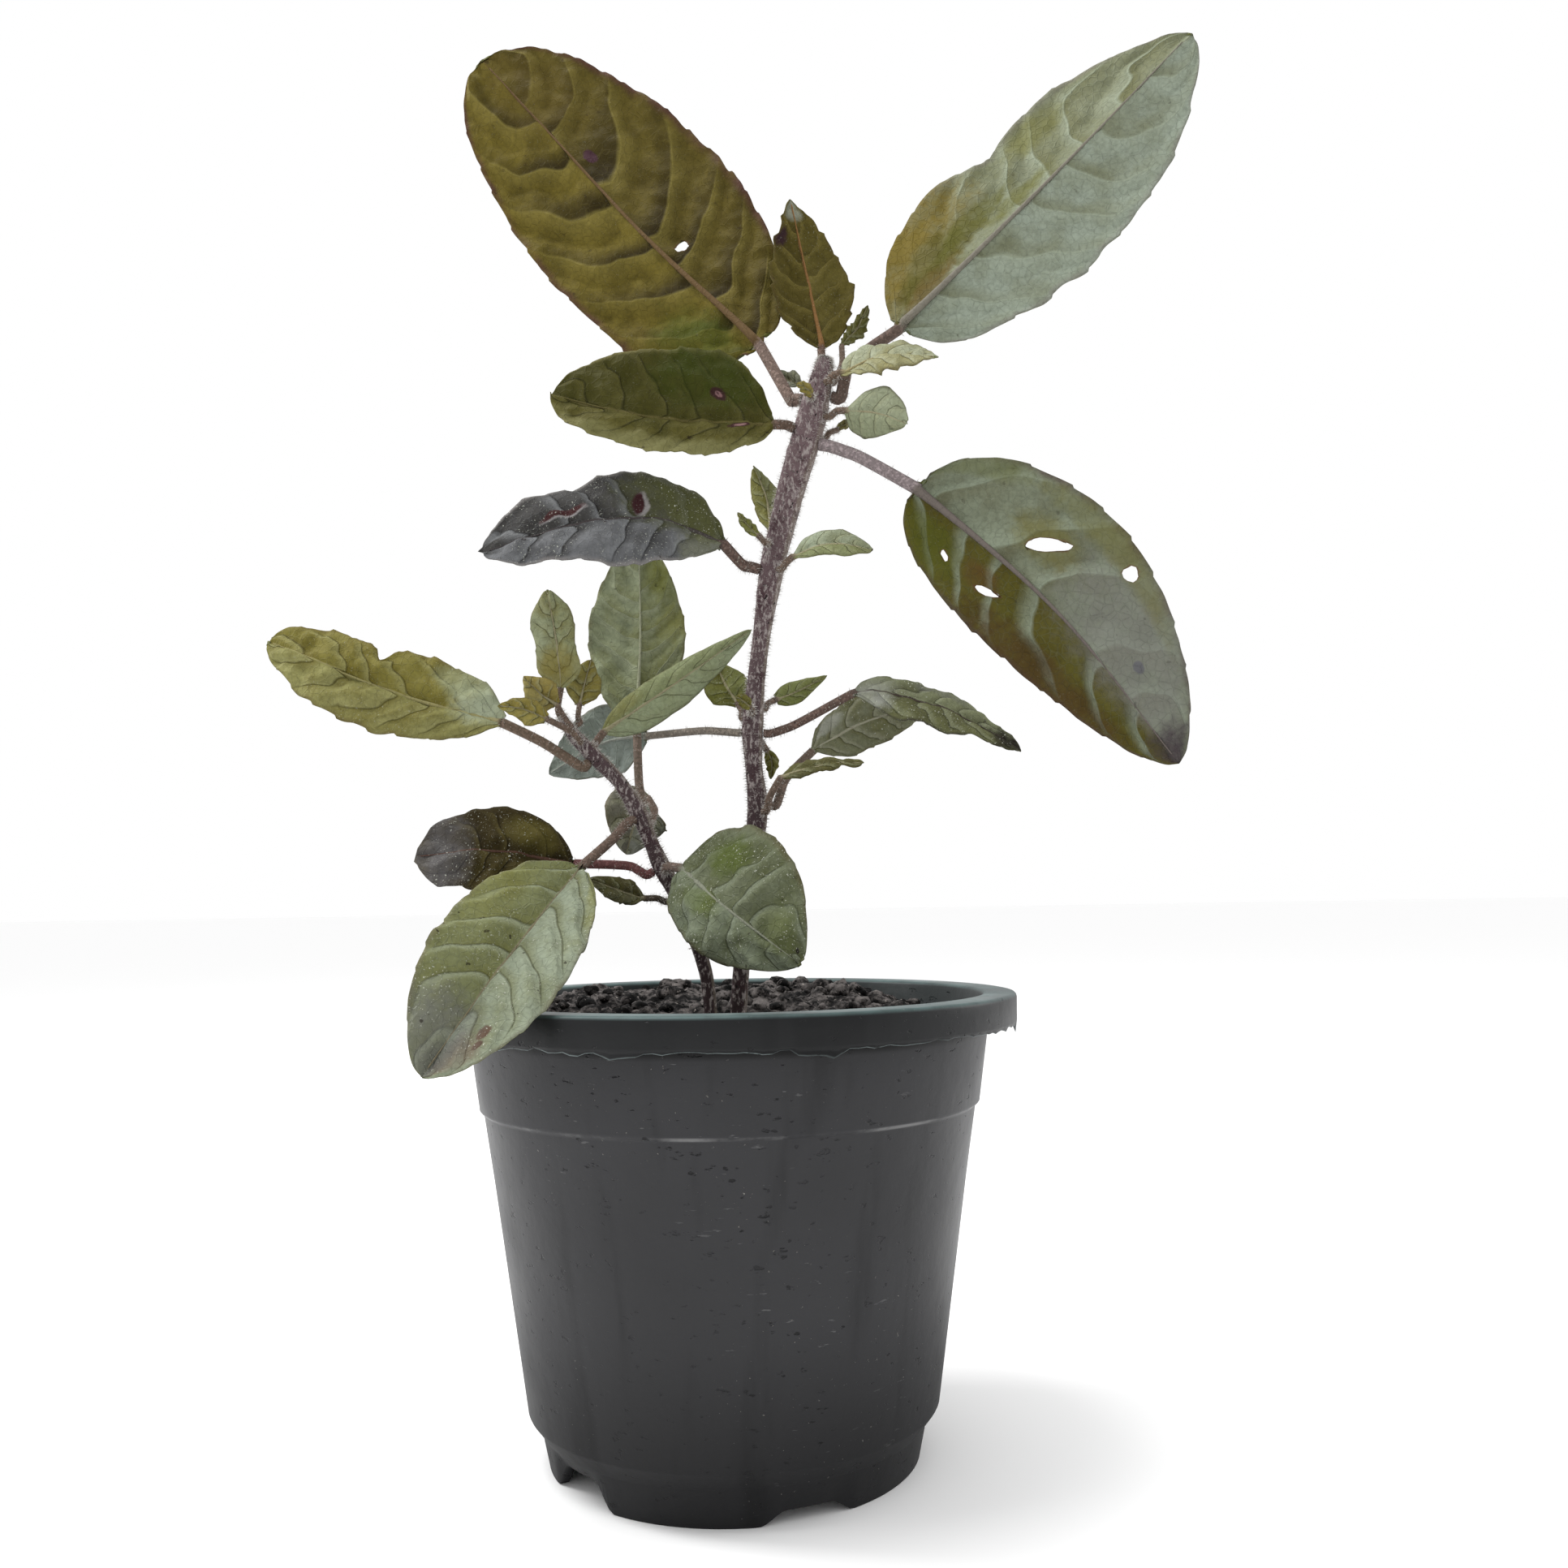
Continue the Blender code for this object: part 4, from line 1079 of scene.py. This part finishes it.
# The big pair and the young leaves at the growing tip.
make_leaf(
    "leaf_crown_left", "leaf_olive", (104, 93, 42), (90, 80, 38), rear=(70, 76, 38), patch=(44, 37, 20),
    mottle=0.4, vein=(118, 108, 58), shade=0.95, ribs=(96, 76, 56), rib=0.015, veins=7, edge=(78, 50, 52),
    edge_show=0.7, stalk=(104, 90, 84), dust=0.1, swell=2.6, arch=1.6, crumple=1.3, tooth_gap=9.0, keep=3,
    bites=[(0.12, 1, -5.5, 0.14), *both(0.93, -1.6, 0.1)],
    marks=[
        (0.65, -0.15, 0.02, 0.06, (66, 46, 52), 1.0), (0.9, -0.2, 0.16, 0.6, (92, 80, 40), 0.5),
        (0.12, 0.5, 0.12, 0.4, (74, 84, 34), 0.6),
    ],
    holes=[(0.33, -0.2, 4.6, 3.4, -0.8), (0.634, -0.19, 2.2, 1.0, 0.4)],
)
make_leaf(
    "leaf_crown_right", "leaf_pale", (116, 120, 98), (136, 145, 131), rear=(88, 92, 50),
    patch=(84, 82, 42), mottle=0.3, vein=(138, 146, 128), shade=0.5, ribs=(112, 106, 98), rib=0.015,
    veins=7, edge=(112, 104, 104), dust=0.1, swell=1.5, wave=0.7, arch=0.9, teeth=0.6, tooth_gap=10.0,
    keep=2,
    bites=[
        (0.2, 1, -5.0, 0.13), (0.36, 1, -3.5, 0.07), (0.5, 1, 1.6, 0.04), (0.78, 1, -3.0, 0.15),
        (0.35, -1, 1.4, 0.25),
    ],
    marks=[
        (0.18, 0.85, 0.24, 0.6, (102, 90, 42), 1.0), (0.2, 0.45, 0.16, 0.25, (80, 76, 34), 1.0),
        (0.12, 0.2, 0.12, 0.2, (88, 74, 38), 0.8), (0.34, 0.42, 0.14, 0.14, (80, 80, 36), 0.85),
        (0.46, 0.2, 0.1, 0.12, (90, 90, 42), 0.7), (0.62, 0.75, 0.1, 0.2, (104, 104, 62), 0.7),
    ],
)
make_leaf(
    "leaf_crown_back", "leaf_olive", (80, 72, 34), (92, 84, 42), rear=(74, 78, 38), patch=(56, 50, 24),
    vein=(112, 102, 56), ribs=(124, 90, 58), swell=1.0, crumple=1.3, teeth=1.3, tooth_gap=6.0, keep=2,
    bites=both(0.45, -2.6, 0.3),
    marks=[(0.78, 0.75, 0.06, 0.25, (48, 32, 40), 0.9), (0.95, 0.0, 0.08, 0.8, (150, 156, 144), 0.8)],
)
make_leaf(
    "leaf_crown_front", "leaf_young", (146, 150, 126), (136, 134, 100), patch=(112, 104, 56),
    vein=(158, 162, 140), ribs=(140, 130, 96), veins=5, swell=0.7, crumple=1.1, teeth=1.0, keep=2,
    bites=[*both(0.55, -2.4, 0.35), (0.85, 1, -1.5, 0.12)],
)
make_leaf(
    "leaf_crown_bud_right", "leaf_olive", (84, 82, 40), (74, 72, 34), rib=0.14, veins=4, teeth=0.9,
    tooth_gap=2.5,
)
make_leaf("leaf_crown_bud_front", "leaf_young", (146, 130, 68), (152, 136, 78), rib=0.16, veins=3)
make_leaf("leaf_crown_bud_left", "leaf_pale", (120, 122, 108), (120, 122, 108), rib=0.14, veins=4)

# The pair below the crown and its axil leaves.
make_leaf(
    "leaf_upper_left", "leaf_olive", (80, 76, 38), (64, 62, 28), rear=(96, 98, 62), patch=(50, 50, 22),
    vein=(92, 88, 50), vein_show=0.35, shade=0.3, ribs=(86, 80, 48), rib=0.03, edge=(116, 110, 72),
    edge_show=0.6, spots=0.6, dust=0.1, swell=1.1, crumple=1.2, teeth=0.6, tooth_gap=6.0, keep=2,
    bites=[(0.12, -1, -4.6, 0.13), (0.3, -1, -2.6, 0.16), *both(0.9, -1.6, 0.12)],
    # The first mark darkens the right half near the base: a painted shadow.
    marks=[
        (0.3, -0.7, 0.3, 0.5, (50, 58, 18), 0.7), (0.5, 0.9, 0.45, 0.3, (120, 118, 80), 0.75),
        (0.25, -0.42, 0.04, 0.1, (50, 28, 32), 0.9), (0.25, -0.42, 0.018, 0.05, (112, 84, 84), 0.9),
        (0.17, 0.16, 0.05, 0.1, (54, 32, 34), 0.95), (0.17, 0.16, 0.028, 0.06, (122, 94, 92), 0.95),
    ],
)
make_leaf(
    "leaf_upper_right", "leaf_pale", (112, 118, 100), (84, 80, 36), rear=(84, 88, 46), patch=(70, 62, 32),
    mottle=0.3, vein=(124, 132, 114), vein_show=0.75, shade=0.35, ribs=(98, 88, 86), rib=0.012,
    edge=(76, 64, 62), edge_show=0.75, stalk=(120, 110, 111), dust=0.1, swell=1.6, arch=0.9, crumple=0.9,
    teeth=0.6, tooth_gap=9.0,
    marks=[
        (0.75, 0.4, 0.3, 0.7, (112, 112, 108), 0.6), (0.97, 0.1, 0.07, 0.9, (62, 54, 58), 0.9),
        (0.6, -0.8, 0.3, 0.3, (70, 52, 32), 0.7), (0.75, 0.35, 0.018, 0.07, (92, 92, 94), 1.0),
        (0.36, 0.42, 0.1, 0.24, (96, 92, 48), 0.7), (0.5, 0.86, 0.24, 0.16, (98, 96, 52), 0.6),
        (0.1, 0.85, 0.12, 0.2, (92, 96, 62), 0.7), (0.3, -0.4, 0.06, 0.2, (84, 62, 36), 0.7),
        (0.14, -0.6, 0.12, 0.4, (76, 80, 30), 0.7),
    ],
    holes=[
        (0.37, 0.4, 9.4, 2.8, 0.6), (0.56, 0.8, 3.6, 3.0, 0.5), (0.34, -0.48, 6.8, 2.0, 0.42),
        (0.19, -0.55, 3.2, 1.7, -0.6),
    ],
)
make_leaf(
    "leaf_upper_axil_front", "leaf_pale", (138, 144, 120), (132, 138, 112), patch=(116, 120, 92),
    mottle=0.3, shade=0.2, veins=4, swell=0.3, crumple=0.3, teeth=0.2, keep=2, bites=both(0.5, -1.8, 0.4),
)
make_leaf("leaf_upper_axil_back", "leaf_olive", (88, 80, 40), (88, 80, 40), rib=0.16, veins=3)

# The middle node.
make_leaf(
    "leaf_middle_left", "leaf_dark", (92, 93, 95), (66, 65, 64), rear=(92, 94, 84), patch=(42, 41, 40),
    mottle=0.6, vein=(120, 122, 124), vein_show=0.55, shade=0.7, ribs=(66, 60, 60), rib=0.03, sweep=0.1,
    edge=(134, 130, 128), edge_show=0.6, spots=0.6, dust=1.0, swell=1.6, wave=0.6, crumple=0.9, teeth=0.3,
    keep=2,
    bites=[(0.82, -1, -3.2, 0.16), (0.35, 1, -2.4, 0.3), (0.88, 1, -1.6, 0.12), (0.3, -1, -1.5, 0.2)],
    # Each slit is a dark mark over a slightly offset pale one; the pale rim left showing is a painted
    # highlight on the slit's curled edge.
    marks=[
        (0.15, -0.5, 0.3, 0.8, (76, 78, 46), 0.8), (0.06, 0.6, 0.12, 0.6, (104, 106, 78), 0.6),
        (0.36, -0.28, 0.03, 0.24, (138, 134, 134), 0.8), (0.372, -0.3, 0.024, 0.22, (54, 32, 34), 1.0),
        (0.655, -0.27, 0.09, 0.09, (138, 134, 134), 0.8), (0.66, -0.3, 0.085, 0.08, (60, 38, 38), 1.0),
    ],
)
make_leaf(
    "leaf_middle_axil_back", "leaf_pale", (112, 110, 62), (124, 128, 92), rib=0.1, veins=5, swell=0.6,
    tooth_gap=4.0, keep=2, bites=both(0.6, -1.5, 0.35),
)
make_leaf("leaf_middle_axil_left", "leaf_green", (120, 122, 72), (108, 110, 60), rib=0.14, veins=3)
make_leaf(
    "leaf_middle_axil_right", "leaf_pale", (140, 148, 126), (120, 126, 90), shade=0.2, rib=0.1, veins=5,
    swell=0.4, wave=0.2, crumple=0.4, teeth=0.2, keep=2,
    bites=[(0.65, 1, -1.6, 0.3), (0.65, -1, -1.4, 0.3)],
)

# The two lower nodes of the main stem.
make_leaf(
    "leaf_lower_right", "leaf_green", (110, 114, 88), (92, 94, 64), rear=(104, 108, 84),
    patch=(66, 66, 44), vein=(136, 140, 116), ribs=(62, 52, 50), edge=(62, 58, 54), edge_show=0.7,
    spots=0.6, dust=1.0, swell=1.1, wave=0.8, crumple=1.1, teeth=0.4,
    marks=[
        (0.96, 0.0, 0.16, 1.2, (34, 30, 28), 1.0), (0.5, 0.7, 0.16, 0.25, (92, 92, 92), 0.5),
        (0.1, -0.4, 0.16, 0.8, (142, 144, 140), 0.6), (0.1, 0.4, 0.16, 0.6, (132, 134, 124), 0.5),
    ],
)
make_leaf(
    "leaf_lower_left", "leaf_pale", (128, 136, 130), (120, 128, 120), rear=(100, 104, 82),
    patch=(106, 112, 104), mottle=0.4, vein=(142, 150, 142), vein_show=0.3, shade=0.3,
    ribs=(136, 138, 130), veins=5, stalk=(104, 96, 88), teeth=0.3,
)
make_leaf(
    "leaf_lower_axil_left", "leaf_olive", (90, 92, 44), (102, 106, 62), vein=(134, 138, 100), rib=0.1,
    veins=5, dust=0.9, swell=0.6, crumple=1.0, teeth=0.3, tooth_gap=4.5, keep=2,
    bites=both(0.5, -1.6, 0.4),
)
make_leaf(
    "leaf_lower_axil_right", "leaf_green", (112, 118, 74), (102, 108, 62), shade=0.2, rib=0.14, veins=4,
    swell=0.3, wave=0.2, crumple=0.3, teeth=0.1, keep=2, bites=both(0.25, -1.2, 0.35),
)
make_leaf("leaf_lower_axil_front", "leaf_green", (106, 102, 52), (98, 94, 46), rib=0.16, veins=3)
make_leaf("leaf_lower_axil_back", "leaf_olive", (98, 96, 48), (90, 88, 40), rib=0.16, veins=3)
make_leaf(
    "leaf_bottom_right", "leaf_green", (110, 112, 92), (102, 104, 82), rear=(100, 104, 80),
    vein=(142, 142, 122), vein_show=0.5, ribs=(150, 148, 130), rib=0.06, veins=5, dust=0.9, crumple=0.9,
    marks=[(0.21, 0.6, 0.12, 0.3, (150, 152, 144), 0.7), (0.66, 0.0, 0.03, 0.1, (44, 38, 34), 0.9)],
)
make_leaf("leaf_bottom_front", "leaf_green", (88, 86, 56), (78, 76, 48), rib=0.12, veins=4)

# The growing tip of the side stem.
make_leaf(
    "leaf_side_left", "leaf_green", (124, 122, 76), (112, 106, 54), rear=(112, 114, 80),
    patch=(88, 80, 34), mottle=0.55, vein=(140, 138, 94), vein_show=0.45, shade=0.5, ribs=(132, 126, 86),
    rib=0.03, swell=1.6, wave=0.8, crumple=1.4, teeth=0.6, tooth_gap=7.0, keep=2,
    bites=[
        (0.52, -1, 4.0, 0.035), (0.8, -1, -2.6, 0.16), (0.36, -1, -2.2, 0.12), (0.12, -1, -3.2, 0.12),
        (0.5, 1, -1.4, 0.3), (0.75, 1, -1.8, 0.15), (0.94, -1, -1.2, 0.05), (0.94, 1, -1.0, 0.05),
    ],
    marks=[(0.06, -0.4, 0.14, 0.9, (146, 154, 132), 0.85), (0.2, -0.7, 0.1, 0.35, (140, 146, 116), 0.6)],
)
make_leaf(
    "leaf_side_upright", "leaf_pale", (134, 141, 114), (126, 132, 102), rear=(100, 104, 62),
    patch=(98, 98, 50), mottle=0.45, vein=(146, 152, 126), vein_show=0.5, shade=0.35, ribs=(140, 142, 120),
    rib=0.025, veins=8, spots=0.5, swell=1.1, crumple=1.0, teeth=0.4, tooth_gap=8.0,
    marks=[
        (0.8, -0.6, 0.14, 0.5, (96, 98, 44), 0.75), (0.55, -0.7, 0.12, 0.35, (104, 104, 54), 0.6),
        (0.25, 0.6, 0.1, 0.3, (102, 104, 58), 0.5),
    ],
)
make_leaf(
    "leaf_side_back", "leaf_pale", (120, 122, 112), (112, 110, 98), shade=0.3, rib=0.06, veins=4,
    edge_show=0.6,
)
make_leaf(
    "leaf_side_long", "leaf_pale", (120, 127, 94), (134, 143, 114), patch=(112, 116, 76), mottle=0.3,
    vein_show=0.15, shade=0.1, rib=0.06, spots=0.1, swell=0.3, wave=0.2, crumple=0.2, teeth=0.1,
    marks=[(0.1, 0.6, 0.2, 0.5, (104, 100, 54), 0.6)],
)
make_leaf(
    "leaf_tip_upright", "leaf_pale", (136, 142, 114), (130, 136, 106), patch=(106, 100, 52), mottle=0.6,
    rib=0.06, veins=5, swell=0.8, crumple=1.3, teeth=0.3, keep=2,
    bites=[*both(0.75, -1.6, 0.2), *both(0.15, -1.5, 0.15)],
    marks=[(0.2, 0.0, 0.25, 1.2, (122, 112, 58), 0.8)],
)
make_leaf(
    "leaf_tip_left", "leaf_young", (140, 130, 80), (132, 120, 68), patch=(98, 84, 42), rib=0.1, veins=4,
    crumple=1.3, teeth=0.4, tooth_gap=4.0, keep=2, bites=both(0.45, -2.0, 0.4),
)
make_leaf(
    "leaf_tip_right", "leaf_young", (124, 117, 66), (114, 106, 56), patch=(86, 76, 38), rib=0.1, veins=4,
    crumple=1.3, teeth=0.4, tooth_gap=4.0, keep=2, bites=both(0.45, -2.0, 0.4),
)
make_leaf(
    "leaf_tip_front", "leaf_young", (136, 126, 70), (130, 118, 62), rib=0.14, veins=4, keep=2,
    bites=both(0.4, -1.6, 0.4),
)

# The big leaves low on the side stem.
make_leaf(
    "leaf_side_dark", "leaf_dark", (66, 59, 32), (54, 47, 27), rear=(82, 80, 74), patch=(36, 30, 18),
    mottle=0.7, vein=(92, 84, 52), vein_show=0.35, shade=0.5, ribs=(84, 62, 54), rib=0.03, veins=5,
    edge=(62, 56, 44), stalk=(96, 66, 66), dust=0.9, swell=1.3, crumple=1.2, teeth=0.3, keep=2,
    bites=[*both(0.88, -3.0, 0.12), *both(0.6, -1.0, 0.2)],
    marks=[(0.92, 0.1, 0.26, 1.4, (82, 80, 80), 0.95), (0.3, -0.5, 0.2, 0.4, (90, 84, 40), 0.5)],
)
make_leaf(
    "leaf_side_hanging", "leaf_pale", (130, 138, 119), (110, 114, 80), rear=(98, 102, 66),
    patch=(92, 92, 50), mottle=0.4, vein=(140, 147, 126), vein_show=0.5, shade=0.55, ribs=(112, 104, 84),
    rib=0.02, edge=(104, 96, 84), spots=0.7, dust=0.9, swell=1.4, crumple=0.8, teeth=0.4, tooth_gap=8.0,
    marks=[
        (0.79, 0.55, 0.03, 0.1, (86, 66, 56), 0.9), (0.83, 0.66, 0.02, 0.07, (70, 50, 46), 0.9),
        (0.9, 0.5, 0.1, 0.4, (104, 88, 76), 0.7), (0.96, 0.2, 0.03, 0.1, (76, 58, 50), 0.8),
        (0.92, -0.3, 0.2, 0.9, (98, 99, 95), 0.8), (0.12, 0.9, 0.14, 0.2, (112, 112, 66), 0.6),
        (0.3, -0.75, 0.22, 0.3, (116, 116, 66), 0.5),
    ],
)
make_leaf(
    "leaf_side_small", "leaf_dark", (82, 80, 60), (70, 66, 44), rib=0.08, veins=4, stalk=(52, 44, 40),
    spots=0.7, dust=0.9,
)
make_leaf(
    "leaf_side_front", "leaf_pale", (96, 101, 80), (106, 113, 94), rear=(92, 96, 66), patch=(66, 70, 40),
    mottle=0.6, vein=(122, 129, 112), vein_show=0.45, shade=0.4, ribs=(122, 124, 110), rib=0.025, veins=5,
    spots=0.6, dust=1.0, swell=1.4, crumple=1.1, teeth=0.3, keep=2,
    bites=[(0.3, 1, -3.4, 0.28), (0.7, 1, -3.0, 0.25), (0.6, -1, -1.6, 0.3)],
    marks=[
        (0.3, 0.55, 0.16, 0.3, (74, 84, 40), 0.8), (0.35, -0.25, 0.16, 0.3, (78, 88, 44), 0.7),
        (0.82, 0.25, 0.12, 0.5, (86, 92, 60), 0.8), (0.95, 0.4, 0.012, 0.1, (30, 26, 24), 0.9),
    ],
)
